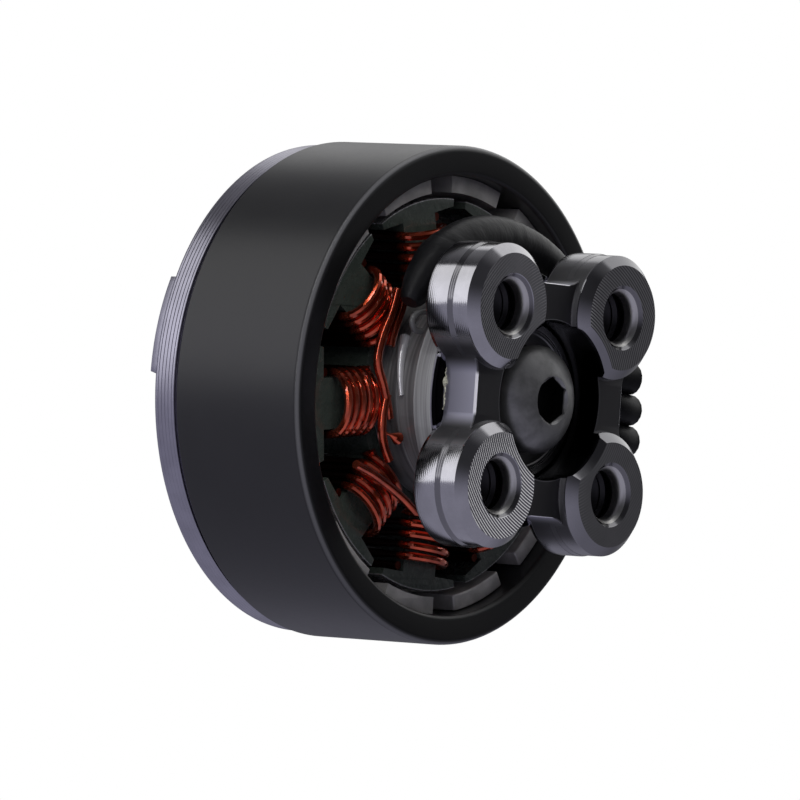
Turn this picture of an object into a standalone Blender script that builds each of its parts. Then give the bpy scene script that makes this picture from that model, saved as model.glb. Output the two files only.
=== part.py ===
"""Outrunner motor for a multirotor drone, as an assembly of its real pieces.

The motor stands on the faces of its four mounting bosses at z = 0, with the shaft
pointing up. Lengths are in metres, written as millimetres times MM.
"""
import math

import bmesh
import bpy
from mathutils import Matrix, Vector

MM = 0.001

# Mounting bosses and base
BOSS_SPACING = 9.0 * MM
BOSS_RADIUS = 3.15 * MM
BOSS_BULGE = 0.06 * MM
BOSS_HEIGHT = 3.1 * MM
BOSS_CHAMFER = 0.48 * MM
BOSS_STEP_HEIGHT = 1.55 * MM
BOSS_BACK_EDGE = 0.15 * MM
HOLE_RADIUS = 1.25 * MM
HOLE_DEPTH = 2.7 * MM
COUNTERSINK_RADIUS = 1.6 * MM
WEB_FACE_DISTANCE = 6.28 * MM
WEB_SETBACK = 0.84 * MM
WEB_FILLET = 0.9 * MM
RECESS_CHAMFER = 0.3 * MM
FLANGE_RADIUS = 6.6 * MM
FLANGE_THICKNESS = 1.3 * MM
NECK_STEP = 0.52 * MM
TUBE_WALL = 0.8 * MM
BEARING_LEDGE = 0.6 * MM
TUBE_RISE = 0.5 * MM

# Fits drawn as small gaps
PRESS_GAP = 0.03 * MM
SEAT_GAP = 0.03 * MM
RUNNING_GAP = 0.06 * MM
AIR_GAP = 0.3 * MM

# Bearings, 4 x 8 x 3 mm
BEARING_BORE_RADIUS = 2.0 * MM
BEARING_OUTER_RADIUS = 4.0 * MM
BEARING_WIDTH = 3.0 * MM
LOWER_BEARING_BOTTOM = 2.4 * MM
RING_WALL_SHARE = 0.3
BALL_SHARE = 0.3
BALL_COUNT = 7
CAGE_THICKNESS = 0.3 * MM
CAGE_HEIGHT = 0.35 * MM
SHIELD_THICKNESS = 0.15 * MM
SHIELD_INSET = 0.1 * MM
SHIELD_BITE = 0.2 * MM

# Stator
STATOR_RADIUS = 10.0 * MM
STACK_HEIGHT = 5.0 * MM
TOOTH_COUNT = 9
YOKE_WALL = 1.24 * MM
TOOTH_WIDTH = 2.6 * MM
SHOE_DEPTH = 0.8 * MM
SHOE_TIP_THICKNESS = 0.38 * MM
SHOE_HALF_ANGLE = math.radians(17.2)
FIRST_TOOTH_ANGLE = math.radians(173.6)

# Coils
WIRE_DIAMETER = 0.47 * MM
TURN_GAP = 0.03 * MM
INSULATION_GAP = 0.05 * MM
END_ARCH = 0.7 * MM
END_CROWN_SHARE = 0.6
CORNER_RISE = 0.2 * MM
COIL_TAIL = 0.55 * MM

# Bell
CAP_CLEARANCE = 0.82 * MM
MAGNET_THICKNESS = 0.85 * MM
MAGNET_OVERHANG = 1.5 * MM
MAGNET_LEAD = 0.25 * MM
MAGNET_INSET = 0.95 * MM
MAGNET_COUNT = 12
MAGNET_ARC = math.radians(21.0)
FIRST_MAGNET_ANGLE = math.radians(-81.8)
RING_WALL = 1.52 * MM
MOUTH_ROUND = 0.25 * MM
CAP_GROOVE_WIDTH = 0.3 * MM
CAP_GROOVE_DEPTH = 0.3 * MM
CAP_RIM_HEIGHT = 1.3 * MM
CAP_INSET = 0.2 * MM
CAP_EDGE = 0.15 * MM
SPIGOT_WALL = 0.8 * MM

# Cap spider, hub and windows
ARM_COUNT = 3
FIRST_ARM_ANGLE = math.radians(192.5)
ARM_WIDTH = 5.0 * MM
ARM_HEIGHT = 0.75 * MM
ARM_EDGE = 0.15 * MM
ARM_TIP_INSET = 0.55 * MM
HUB_MARGIN = 1.4 * MM
HUB_BOTTOM_RADIUS = 3.3 * MM
WINDOW_MARGIN = 0.35 * MM
WINDOW_CORNER = 0.8 * MM
PROP_HOLE_SPACING = 5.0 * MM
PROP_HOLE_RADIUS = 0.8 * MM
PROP_HOLE_DEPTH = 2.2 * MM

# Shaft, screw and washers
SHAFT_SEAT_RADIUS = 1.25 * MM
SHAFT_TIP_RADIUS = 0.75 * MM
SHAFT_TIP_LENGTH = 4.0 * MM
SHAFT_TIP_CHAMFER = 0.2 * MM
SHAFT_THREAD_RADIUS = 1.5 * MM
SHAFT_THREAD_DEPTH = 6.5 * MM
WASHER_RADIUS = 2.5 * MM
LOWER_WASHER_THICKNESS = 0.2 * MM
SHIM_THICKNESS = 0.2 * MM
SCREW_HEAD_RADIUS = 2.75 * MM
SCREW_HEAD_HEIGHT = 1.5 * MM
SCREW_RIM_HEIGHT = 0.4 * MM
SCREW_LENGTH = 6.0 * MM
HEX_ACROSS_FLATS = 2.0 * MM
HEX_DEPTH = 0.9 * MM

# Wiring
SLEEVE_RADIUS = 1.3 * MM
SLEEVE_SIDE_GAP = 0.1 * MM
SLEEVE_LIFT = 0.5 * MM
SLEEVE_START = math.radians(-152.0)
SLEEVE_END = math.radians(-36.0)
LEAD_DIAMETER = 1.5 * MM
LEAD_PITCH = 1.6 * MM
LEAD_END = 11.0 * MM
JUMPER_DIAMETER = 0.47 * MM
WIRING_GAP = 0.2 * MM
LEAD_START_GAP = 0.15 * MM

# Cutters reach this far past what they cut
CUT_CLEARANCE = 1.0 * MM

# Facets
BELL_STEPS = 48
BASE_STEPS = 32
BOSS_STEPS = 20
HOLE_STEPS = 12
BEARING_STEPS = 18
CAGE_STEPS = 14
MERGE = 1e-6

# Worked-out places
BEARING_SECTION = BEARING_OUTER_RADIUS - BEARING_BORE_RADIUS
INNER_RING_SHOULDER = BEARING_BORE_RADIUS + BEARING_SECTION * RING_WALL_SHARE
OUTER_RING_SHOULDER = BEARING_OUTER_RADIUS - BEARING_SECTION * RING_WALL_SHARE
BALL_RADIUS = BEARING_SECTION * BALL_SHARE
RECESS_RADIUS = BEARING_OUTER_RADIUS + PRESS_GAP
TUBE_BORE_RADIUS = BEARING_OUTER_RADIUS - BEARING_LEDGE
TUBE_RADIUS = RECESS_RADIUS + TUBE_WALL
NECK_RADIUS = TUBE_RADIUS + NECK_STEP
YOKE_RADIUS = TUBE_RADIUS + PRESS_GAP + YOKE_WALL
SHOE_ROOT_RADIUS = STATOR_RADIUS - SHOE_DEPTH
FLANGE_TOP = BOSS_HEIGHT + FLANGE_THICKNESS
WIRE_RADIUS = WIRE_DIAMETER / 2
SLEEVE_PATH_RADIUS = FLANGE_RADIUS + SLEEVE_SIDE_GAP + SLEEVE_RADIUS
SLEEVE_HEIGHT = BOSS_HEIGHT + SLEEVE_LIFT + SLEEVE_RADIUS
JUMPER_HEIGHT = SLEEVE_HEIGHT + SLEEVE_RADIUS + WIRING_GAP + JUMPER_DIAMETER / 2
COIL_BOTTOM = JUMPER_HEIGHT + JUMPER_DIAMETER / 2 + WIRING_GAP
STACK_BOTTOM = COIL_BOTTOM + WIRE_RADIUS + END_ARCH
STACK_TOP = STACK_BOTTOM + STACK_HEIGHT
COIL_TOP = STACK_TOP + END_ARCH + WIRE_RADIUS
LOWER_BEARING_TOP = LOWER_BEARING_BOTTOM + BEARING_WIDTH
UPPER_BEARING_TOP = COIL_TOP + TUBE_RISE
UPPER_BEARING_BOTTOM = UPPER_BEARING_TOP - BEARING_WIDTH
SHIM_BOTTOM = UPPER_BEARING_TOP + SEAT_GAP
HUB_BOTTOM = SHIM_BOTTOM + SHIM_THICKNESS + SEAT_GAP
MAGNET_INNER_RADIUS = STATOR_RADIUS + AIR_GAP
MAGNET_OUTER_RADIUS = MAGNET_INNER_RADIUS + MAGNET_THICKNESS
RING_INNER_RADIUS = MAGNET_OUTER_RADIUS + PRESS_GAP
BELL_RADIUS = RING_INNER_RADIUS + RING_WALL
CAP_RADIUS = BELL_RADIUS - CAP_INSET
MAGNET_BOTTOM = STACK_BOTTOM - MAGNET_LEAD
MAGNET_TOP = STACK_TOP + MAGNET_OVERHANG
RING_BOTTOM = MAGNET_BOTTOM - MAGNET_INSET
RING_TOP = COIL_TOP + CAP_CLEARANCE
SPIGOT_BOTTOM = MAGNET_TOP + SEAT_GAP
SPIGOT_RADIUS = RING_INNER_RADIUS - PRESS_GAP
CAP_BOTTOM = RING_TOP + SEAT_GAP
CAP_RIM_BOTTOM = CAP_BOTTOM + CAP_GROOVE_WIDTH
CAP_TOP = CAP_RIM_BOTTOM + CAP_RIM_HEIGHT
PROP_SEAT = CAP_TOP + ARM_HEIGHT
ARM_TIP_RADIUS = CAP_RADIUS - ARM_TIP_INSET
HUB_TOP_RADIUS = PROP_HOLE_SPACING / 2 + PROP_HOLE_RADIUS + HUB_MARGIN
WINDOW_OUTER_RADIUS = SPIGOT_RADIUS - SPIGOT_WALL - WINDOW_MARGIN
WASHER_TOP = LOWER_BEARING_BOTTOM - SEAT_GAP
WASHER_BOTTOM = WASHER_TOP - LOWER_WASHER_THICKNESS
HEAD_TOP = WASHER_BOTTOM - SEAT_GAP
HEAD_BOTTOM = HEAD_TOP - SCREW_HEAD_HEIGHT


def add_collection(name):
    """Make a collection of the scene and return it."""
    collection = bpy.data.collections.new(name)
    bpy.context.scene.collection.children.link(collection)
    return collection


def clear_scene():
    """Remove every object that the scene holds."""
    for item in list(bpy.data.objects):
        bpy.data.objects.remove(item, do_unlink=True)


clear_scene()
MOTOR = add_collection("drone_motor")
CUTTERS = add_collection("cutters")


def make_material(name, colour, roughness, metallic):
    """Make a Principled material with one colour and finish."""
    material = bpy.data.materials.new(name)
    material.use_nodes = True
    shader = material.node_tree.nodes["Principled BSDF"]
    shader.inputs["Base Color"].default_value = (*colour, 1.0)
    shader.inputs["Roughness"].default_value = roughness
    shader.inputs["Metallic"].default_value = metallic
    material.diffuse_color = (*colour, 1.0)
    return material


GREY_ALUMINIUM = make_material("grey_anodised_aluminium", (0.20, 0.20, 0.24), 0.32, 1.0)
CAP_ALUMINIUM = make_material("cap_anodised_aluminium", (0.22, 0.21, 0.26), 0.38, 1.0)
BLACK_STEEL = make_material("black_coated_steel", (0.02, 0.02, 0.022), 0.35, 0.6)
BRIGHT_STEEL = make_material("ground_steel", (0.55, 0.55, 0.56), 0.22, 1.0)
DARK_STEEL = make_material("blackened_steel", (0.05, 0.05, 0.05), 0.45, 0.8)
MAGNET_NICKEL = make_material("magnet_nickel", (0.25, 0.24, 0.23), 0.35, 0.9)
STATOR_COATING = make_material("stator_coating", (0.02, 0.027, 0.023), 0.3, 0.0)
ENAMEL_WIRE = make_material("enamelled_copper", (0.45, 0.08, 0.04), 0.25, 0.6)
BLACK_SLEEVE = make_material("black_sleeve", (0.02, 0.02, 0.022), 0.5, 0.0)
BLACK_SILICONE = make_material("lead_jacket", (0.025, 0.025, 0.027), 0.55, 0.0)
CAGE_STEEL = make_material("cage_steel", (0.4, 0.4, 0.4), 0.3, 1.0)


def place(item, material, collection=None):
    """Give an object its material and put it in a collection."""
    if item.data.materials:
        item.data.materials[0] = material
    else:
        item.data.materials.append(material)
    (collection or MOTOR).objects.link(item)
    return item


def mesh_object(name, shape, material, collection=None):
    """Turn a bmesh into an object."""
    mesh = bpy.data.meshes.new(name)
    bmesh.ops.recalc_face_normals(shape, faces=shape.faces)
    shape.to_mesh(mesh)
    shape.free()
    return place(bpy.data.objects.new(name, mesh), material, collection)


def turned(name, profile, steps, material, collection=None, ring=True):
    """Turn a profile of (radius, z) points round Z.

    A ring's profile is a closed loop that runs down its outer side. A solid's profile
    starts and ends on the axis.
    """
    mesh = bpy.data.meshes.new(name)
    count = len(profile)
    edges = [(i, i + 1) for i in range(count - 1)]
    if ring:
        edges.append((count - 1, 0))
    mesh.from_pydata([(radius, 0.0, z) for radius, z in profile], edges, [])
    item = place(bpy.data.objects.new(name, mesh), material, collection)
    screw = item.modifiers.new("turn", "SCREW")
    screw.axis = "Z"
    screw.angle = math.tau
    screw.steps = steps
    screw.render_steps = steps
    screw.use_merge_vertices = True
    screw.merge_threshold = MERGE
    screw.use_smooth_shade = True
    return item


def outline_object(name, loops, bottom, height, material, collection=None):
    """Fill flat loops of (x, y) points and give them a thickness above bottom."""
    curve = bpy.data.curves.new(name, "CURVE")
    curve.dimensions = "2D"
    curve.fill_mode = "BOTH"
    curve.extrude = height / 2
    for loop in loops:
        spline = curve.splines.new("POLY")
        spline.points.add(len(loop) - 1)
        for point, (x, y) in zip(spline.points, loop):
            point.co = (x, y, 0.0, 1.0)
        spline.use_cyclic_u = True
    item = bpy.data.objects.new(name, curve)
    item.location.z = bottom + height / 2
    return place(item, material, collection)


def tube_object(name, points, radius, sides_level, material, collection=None):
    """Run a round wire or sleeve of the given radius through the points."""
    curve = bpy.data.curves.new(name, "CURVE")
    curve.dimensions = "3D"
    curve.bevel_depth = radius
    curve.bevel_resolution = sides_level
    curve.use_fill_caps = True
    spline = curve.splines.new("POLY")
    spline.points.add(len(points) - 1)
    for point, place_at in zip(spline.points, points):
        point.co = (*place_at, 1.0)
    return place(bpy.data.objects.new(name, curve), material, collection)


def as_mesh(item):
    """Replace a curve object by its welded mesh, so that it can be cut."""
    bpy.context.view_layer.update()
    depsgraph = bpy.context.evaluated_depsgraph_get()
    mesh = bpy.data.meshes.new_from_object(item.evaluated_get(depsgraph))
    shape = bmesh.new()
    shape.from_mesh(mesh)
    bmesh.ops.remove_doubles(shape, verts=shape.verts, dist=MERGE)
    bmesh.ops.recalc_face_normals(shape, faces=shape.faces)
    shape.to_mesh(mesh)
    shape.free()
    name = item.name
    matrix = item.matrix_world.copy()
    collection = item.users_collection[0]
    bpy.data.objects.remove(item, do_unlink=True)
    mesh.name = name
    result = bpy.data.objects.new(name, mesh)
    result.matrix_world = matrix
    collection.objects.link(result)
    return result


def combine(item, tool, operation):
    """Join a tool to an object or cut it away, with an exact Boolean."""
    boolean = item.modifiers.new(tool.name, "BOOLEAN")
    boolean.operation = operation
    boolean.solver = "EXACT"
    boolean.object = tool
    tool.hide_render = True
    tool.display_type = "WIRE"
    return boolean


def arc(centre, radius, start, end, count):
    """Points along an arc about a centre, both ends included."""
    step = (end - start) / (count - 1)
    angles = [start + step * i for i in range(count)]
    return [(centre[0] + radius * math.cos(a), centre[1] + radius * math.sin(a)) for a in angles]


def turn_point(point, angle):
    """Turn a flat point about the axis."""
    x, y = point
    return (x * math.cos(angle) - y * math.sin(angle), x * math.sin(angle) + y * math.cos(angle))


def web_frame_outline():
    """Outline round the four bosses and the waisted webs between them."""
    half = BOSS_SPACING / 2
    boss_radius = BOSS_RADIUS - BOSS_BULGE
    reach = boss_radius + WEB_FILLET
    rise = WEB_FACE_DISTANCE + WEB_FILLET - half
    slant = math.acos(min(rise / reach, 1.0))
    fillet_x = half - reach * math.sin(slant)
    fillet_centre = (fillet_x, WEB_FACE_DISTANCE + WEB_FILLET)
    upward = math.pi / 2
    side = arc(fillet_centre, WEB_FILLET, -upward, -upward + slant, 4)[:-1]
    around = arc((half, half), boss_radius, upward + slant, -slant, 5)
    mirrored = [(y, x) for x, y in reversed(side)]
    corner = side + around + mirrored
    outline = []
    for quarter in range(4):
        turn = -upward * quarter
        outline += [turn_point(point, turn) for point in corner]
    return outline


def boss_profile():
    """Half section of a mounting boss, from its face up into the flange."""
    top = BOSS_HEIGHT
    bulge = BOSS_RADIUS + BOSS_BULGE
    return [
        (0.0, top),
        (bulge - BOSS_BACK_EDGE, top),
        (bulge, top - BOSS_BACK_EDGE),
        (BOSS_RADIUS, BOSS_STEP_HEIGHT),
        (BOSS_RADIUS, BOSS_CHAMFER),
        (BOSS_RADIUS - BOSS_CHAMFER, 0.0),
        (0.0, 0.0),
    ]


def hole_profile(radius, mouth_radius, depth):
    """Half section of a blind hole that opens downward at z = 0 with a countersink."""
    below = -CUT_CLEARANCE
    cone = mouth_radius - radius
    return [
        (0.0, depth),
        (radius, depth - radius * 0.5),
        (radius, cone),
        (mouth_radius, 0.0),
        (mouth_radius, below),
        (0.0, below),
    ]


def core_profile():
    """Half section of the base from flange to tube top, with both bearing seats."""
    seat = RECESS_RADIUS
    return [
        (FLANGE_RADIUS, FLANGE_TOP),
        (FLANGE_RADIUS, BOSS_HEIGHT - BOSS_BACK_EDGE),
        (seat, BOSS_HEIGHT - BOSS_BACK_EDGE),
        (seat, LOWER_BEARING_TOP + SEAT_GAP),
        (TUBE_BORE_RADIUS, LOWER_BEARING_TOP + SEAT_GAP),
        (TUBE_BORE_RADIUS, UPPER_BEARING_BOTTOM - SEAT_GAP),
        (seat, UPPER_BEARING_BOTTOM - SEAT_GAP),
        (seat, UPPER_BEARING_TOP),
        (TUBE_RADIUS, UPPER_BEARING_TOP),
        (TUBE_RADIUS, STACK_BOTTOM - SEAT_GAP),
        (NECK_RADIUS, STACK_BOTTOM - SEAT_GAP),
        (NECK_RADIUS, FLANGE_TOP),
    ]


def recess_profile():
    """Half section of the round recess between the bosses, chamfered at its mouth."""
    top = BOSS_HEIGHT + SEAT_GAP
    below = -CUT_CLEARANCE
    return [
        (0.0, top),
        (RECESS_RADIUS, top),
        (RECESS_RADIUS, RECESS_CHAMFER),
        (RECESS_RADIUS + RECESS_CHAMFER, 0.0),
        (RECESS_RADIUS + RECESS_CHAMFER, below),
        (0.0, below),
    ]


def boss_centres():
    """Centres of the four bosses, counter-clockwise."""
    half = BOSS_SPACING / 2
    return [(half, half), (-half, half), (-half, -half), (half, -half)]


def joined(name, items, material):
    """Join evaluated objects that don't touch into one mesh, to use as a single tool."""
    bpy.context.view_layer.update()
    depsgraph = bpy.context.evaluated_depsgraph_get()
    shape = bmesh.new()
    for item in items:
        mesh = bpy.data.meshes.new_from_object(item.evaluated_get(depsgraph))
        mesh.transform(item.matrix_world)
        shape.from_mesh(mesh)
        bpy.data.meshes.remove(mesh)
    for item in items:
        bpy.data.objects.remove(item, do_unlink=True)
    return mesh_object(name, shape, material, CUTTERS)


def make_base():
    """Machined base: webs, bosses, flange, neck and bearing tube in one piece."""
    overlap = BOSS_BACK_EDGE / 2
    web = outline_object(
        "base_webs",
        [web_frame_outline()],
        WEB_SETBACK,
        BOSS_HEIGHT - WEB_SETBACK - overlap,
        GREY_ALUMINIUM,
    )
    base = as_mesh(web)
    base.name = "base"
    bosses = []
    holes = []
    for x, y in boss_centres():
        boss = turned("boss", boss_profile(), BOSS_STEPS, GREY_ALUMINIUM, CUTTERS, ring=False)
        boss.location = (x, y, 0.0)
        bosses.append(boss)
        profile = hole_profile(HOLE_RADIUS, COUNTERSINK_RADIUS, HOLE_DEPTH)
        hole = turned("hole", profile, HOLE_STEPS, DARK_STEEL, CUTTERS, ring=False)
        hole.location = (x, y, 0.0)
        holes.append(hole)
    recess = turned("recess", recess_profile(), BASE_STEPS, DARK_STEEL, CUTTERS, ring=False)
    core = turned("base_core", core_profile(), BASE_STEPS, GREY_ALUMINIUM, CUTTERS)
    combine(base, joined("all_bosses", bosses, GREY_ALUMINIUM), "UNION")
    combine(base, recess, "DIFFERENCE")
    combine(base, core, "UNION")
    combine(base, joined("all_holes", holes, DARK_STEEL), "DIFFERENCE")
    return base


def tooth_outline(angle):
    """Points of one stator tooth and the yoke up to the next one, about the axis."""
    half_width = TOOTH_WIDTH / 2
    neck_base = math.sqrt(YOKE_RADIUS**2 - half_width**2)
    tip_inner = STATOR_RADIUS - SHOE_TIP_THICKNESS
    tip_x = tip_inner * math.cos(SHOE_HALF_ANGLE)
    tip_y = tip_inner * math.sin(SHOE_HALF_ANGLE)
    face = arc((0.0, 0.0), STATOR_RADIUS, -SHOE_HALF_ANGLE, SHOE_HALF_ANGLE, 5)
    slot = math.pi / TOOTH_COUNT
    yoke = (YOKE_RADIUS * math.cos(slot), YOKE_RADIUS * math.sin(slot))
    points = [(neck_base, -half_width), (SHOE_ROOT_RADIUS, -half_width), (tip_x, -tip_y)]
    points += face
    points += [(tip_x, tip_y), (SHOE_ROOT_RADIUS, half_width), (neck_base, half_width), yoke]
    return [turn_point(point, angle) for point in points]


def tooth_angles():
    """Direction of each tooth about the axis."""
    return [FIRST_TOOTH_ANGLE + math.tau * i / TOOTH_COUNT for i in range(TOOTH_COUNT)]


def make_stator_core():
    """Coated lamination stack with its teeth and shoes."""
    outline = []
    for angle in tooth_angles():
        outline += tooth_outline(angle)
    bore = arc((0.0, 0.0), TUBE_RADIUS + PRESS_GAP, 0.0, math.tau, BASE_STEPS + 1)[:-1]
    return outline_object("stator_core", [outline, bore], STACK_BOTTOM, STACK_HEIGHT, STATOR_COATING)


def coil_turn():
    """Flat path of one turn round a tooth, as (across, along the shaft) points.

    The end turns toward the mouth are arched in three stretches, and the hidden ones in two.
    """
    side = TOOTH_WIDTH / 2 + INSULATION_GAP + WIRE_RADIUS
    corner = STACK_HEIGHT / 2 + CORNER_RISE
    crown = STACK_HEIGHT / 2 + END_ARCH
    shoulder = side * END_CROWN_SHARE
    hidden = [(side, corner), (0.0, crown), (-side, corner)]
    shown = [(-side, -corner), (-shoulder, -crown), (shoulder, -crown)]
    return [(side, -corner)] + hidden + shown


def coil_path():
    """Helix of wire wound inward along a tooth that points along +X."""
    start = SHOE_ROOT_RADIUS - INSULATION_GAP - WIRE_RADIUS
    finish = YOKE_RADIUS + INSULATION_GAP + WIRE_RADIUS
    pitch = WIRE_DIAMETER + TURN_GAP
    turns = int((start - finish) / pitch)
    path = coil_turn()
    middle = STACK_BOTTOM + STACK_HEIGHT / 2
    points = []
    for i in range(turns * len(path) + 1):
        across, along = path[i % len(path)]
        radius = start - pitch * i / len(path)
        points.append((radius, across, middle + along))
    last = points[-1]
    points.append((last[0] - WIRE_RADIUS, last[1], last[2] - COIL_TAIL))
    return points


def make_coils():
    """One helical coil on each tooth."""
    path = coil_path()
    coils = []
    for i, angle in enumerate(tooth_angles()):
        coil = tube_object(f"coil_{i + 1}", path, WIRE_RADIUS, 0, ENAMEL_WIRE)
        coil.rotation_euler.z = angle
        coils.append(coil)
    return coils


def make_flux_ring():
    """Steel ring of the bell, rounded at its open mouth."""
    edge = MOUTH_ROUND
    half = edge * 0.3
    profile = [
        (BELL_RADIUS, RING_TOP),
        (BELL_RADIUS, RING_BOTTOM + edge),
        (BELL_RADIUS - half, RING_BOTTOM + half),
        (BELL_RADIUS - edge, RING_BOTTOM),
        (RING_INNER_RADIUS + edge, RING_BOTTOM),
        (RING_INNER_RADIUS, RING_BOTTOM + edge),
        (RING_INNER_RADIUS, RING_TOP),
    ]
    return turned("flux_ring", profile, BELL_STEPS, BLACK_STEEL)


def make_magnets():
    """Arc magnets glued inside the flux ring."""
    half = MAGNET_ARC / 2
    outer = arc((0.0, 0.0), MAGNET_OUTER_RADIUS, -half, half, 4)
    inner = arc((0.0, 0.0), MAGNET_INNER_RADIUS, half, -half, 4)
    length = MAGNET_TOP - MAGNET_BOTTOM
    magnets = []
    for i in range(MAGNET_COUNT):
        name = f"magnet_{i + 1:02d}"
        item = outline_object(name, [outer + inner], MAGNET_BOTTOM, length, MAGNET_NICKEL)
        item.rotation_euler.z = FIRST_MAGNET_ANGLE - math.tau * i / MAGNET_COUNT
        magnets.append(item)
    return magnets


def cap_profile():
    """Half section of the cap's disc, rim, groove and spigot."""
    groove = CAP_RADIUS - CAP_GROOVE_DEPTH
    return [
        (0.0, CAP_TOP),
        (CAP_RADIUS - CAP_EDGE, CAP_TOP),
        (CAP_RADIUS, CAP_TOP - CAP_EDGE),
        (CAP_RADIUS, CAP_RIM_BOTTOM),
        (groove, CAP_RIM_BOTTOM),
        (groove, CAP_BOTTOM),
        (SPIGOT_RADIUS, CAP_BOTTOM),
        (SPIGOT_RADIUS, SPIGOT_BOTTOM),
        (SPIGOT_RADIUS - SPIGOT_WALL, SPIGOT_BOTTOM),
        (SPIGOT_RADIUS - SPIGOT_WALL, CAP_BOTTOM),
        (0.0, CAP_BOTTOM),
    ]


def spider_outline():
    """Outline of the raised hub and its arms."""
    half = ARM_WIDTH / 2
    root = math.asin(half / HUB_TOP_RADIUS)
    tip = math.asin(half / ARM_TIP_RADIUS)
    gap = math.tau / ARM_COUNT
    points = []
    for i in range(ARM_COUNT):
        angle = FIRST_ARM_ANGLE + gap * i
        end = arc((0.0, 0.0), ARM_TIP_RADIUS, -tip, tip, 4)
        rest = arc((0.0, 0.0), HUB_TOP_RADIUS, root, gap - root, 5)
        points += [turn_point(point, angle) for point in end + rest]
    return points


def window_outline(angle):
    """Outline of one window between two arms."""
    half = ARM_WIDTH / 2 + WINDOW_MARGIN
    inner_radius = HUB_TOP_RADIUS + WINDOW_MARGIN
    gap = math.tau / ARM_COUNT
    inner = math.asin(half / inner_radius)
    outer = math.asin(half / WINDOW_OUTER_RADIUS)
    near = arc((0.0, 0.0), inner_radius, gap - inner, inner, 5)
    far = arc((0.0, 0.0), WINDOW_OUTER_RADIUS, outer, gap - outer, 10)
    return [turn_point(point, angle) for point in near + far]


def round_edges(item, width, segments, angle):
    """Round or chamfer the edges that are sharper than the angle."""
    bevel = item.modifiers.new("edge", "BEVEL")
    bevel.width = width
    bevel.segments = segments
    bevel.limit_method = "ANGLE"
    bevel.angle_limit = angle
    return item


def rod(name, radius, bottom, top, steps, material):
    """Plain round tool between two heights."""
    profile = [(0.0, top), (radius, top), (radius, bottom), (0.0, bottom)]
    return turned(name, profile, steps, material, CUTTERS, ring=False)


def cap_spider():
    """Raised three-arm spider with chamfered edges."""
    overlap = ARM_HEIGHT / 2
    height = ARM_HEIGHT + overlap
    outline = [spider_outline()]
    spider = outline_object("spider", outline, CAP_TOP - overlap, height, CAP_ALUMINIUM, CUTTERS)
    return round_edges(as_mesh(spider), ARM_EDGE, 1, math.radians(50.0))


def cap_windows():
    """Tools for the windows between the arms."""
    clear = WINDOW_CORNER * 1.5
    bottom = SPIGOT_BOTTOM - clear
    height = PROP_SEAT + clear - bottom
    windows = []
    for i in range(ARM_COUNT):
        outline = [window_outline(FIRST_ARM_ANGLE + math.tau * i / ARM_COUNT)]
        window = outline_object(f"window_{i + 1}", outline, bottom, height, DARK_STEEL, CUTTERS)
        windows.append(round_edges(as_mesh(window), WINDOW_CORNER, 2, math.radians(50.0)))
    return windows


def cap_drills():
    """Tools for the shaft bore and the two tapped prop holes."""
    clear = ARM_HEIGHT
    radius = SHAFT_SEAT_RADIUS + PRESS_GAP
    top = PROP_SEAT + clear
    drills = [rod("shaft_bore", radius, HUB_BOTTOM - clear, top, BEARING_STEPS, DARK_STEEL)]
    for side in (-1, 1):
        bottom = PROP_SEAT - PROP_HOLE_DEPTH
        drill = rod("prop_hole", PROP_HOLE_RADIUS, bottom, top, HOLE_STEPS, DARK_STEEL)
        x, y = turn_point((side * PROP_HOLE_SPACING / 2, 0.0), FIRST_ARM_ANGLE)
        drill.location = (x, y, 0.0)
        drills.append(drill)
    return drills


def make_cap():
    """Bell cap: disc with rim and spigot, hub, raised spider, windows and prop holes."""
    cap = turned("bell_cap", cap_profile(), BELL_STEPS, CAP_ALUMINIUM, ring=False)
    hub_top = (CAP_BOTTOM + CAP_TOP) / 2
    hub = rod("hub", HUB_BOTTOM_RADIUS, HUB_BOTTOM, hub_top, BEARING_STEPS, CAP_ALUMINIUM)
    combine(cap, hub, "UNION")
    combine(cap, cap_spider(), "UNION")
    combine(cap, joined("cap_cuts", cap_windows() + cap_drills(), DARK_STEEL), "DIFFERENCE")
    return cap


def make_shaft():
    """Stepped steel shaft, hollow and threaded at its lower end."""
    bottom = LOWER_BEARING_BOTTOM + SEAT_GAP
    shoulder = HUB_BOTTOM - SEAT_GAP
    tip_top = PROP_SEAT + SHAFT_TIP_LENGTH
    chamfer = SHAFT_TIP_CHAMFER
    profile = [
        (0.0, tip_top),
        (SHAFT_TIP_RADIUS - chamfer, tip_top),
        (SHAFT_TIP_RADIUS, tip_top - chamfer),
        (SHAFT_TIP_RADIUS, PROP_SEAT),
        (SHAFT_SEAT_RADIUS, PROP_SEAT),
        (SHAFT_SEAT_RADIUS, shoulder),
        (BEARING_BORE_RADIUS, shoulder),
        (BEARING_BORE_RADIUS, bottom),
        (SHAFT_THREAD_RADIUS, bottom),
        (SHAFT_THREAD_RADIUS, bottom + SHAFT_THREAD_DEPTH),
        (0.0, bottom + SHAFT_THREAD_DEPTH),
    ]
    return turned("shaft", profile, BEARING_STEPS, BRIGHT_STEEL, ring=False)


def washer(name, bottom, thickness):
    """Thin washer that turns with the shaft."""
    inner = SHAFT_THREAD_RADIUS if bottom < LOWER_BEARING_BOTTOM else BEARING_BORE_RADIUS
    inner += PRESS_GAP
    profile = [
        (WASHER_RADIUS, bottom + thickness),
        (WASHER_RADIUS, bottom),
        (inner, bottom),
        (inner, bottom + thickness),
    ]
    return turned(name, profile, BEARING_STEPS, BRIGHT_STEEL)


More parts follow.
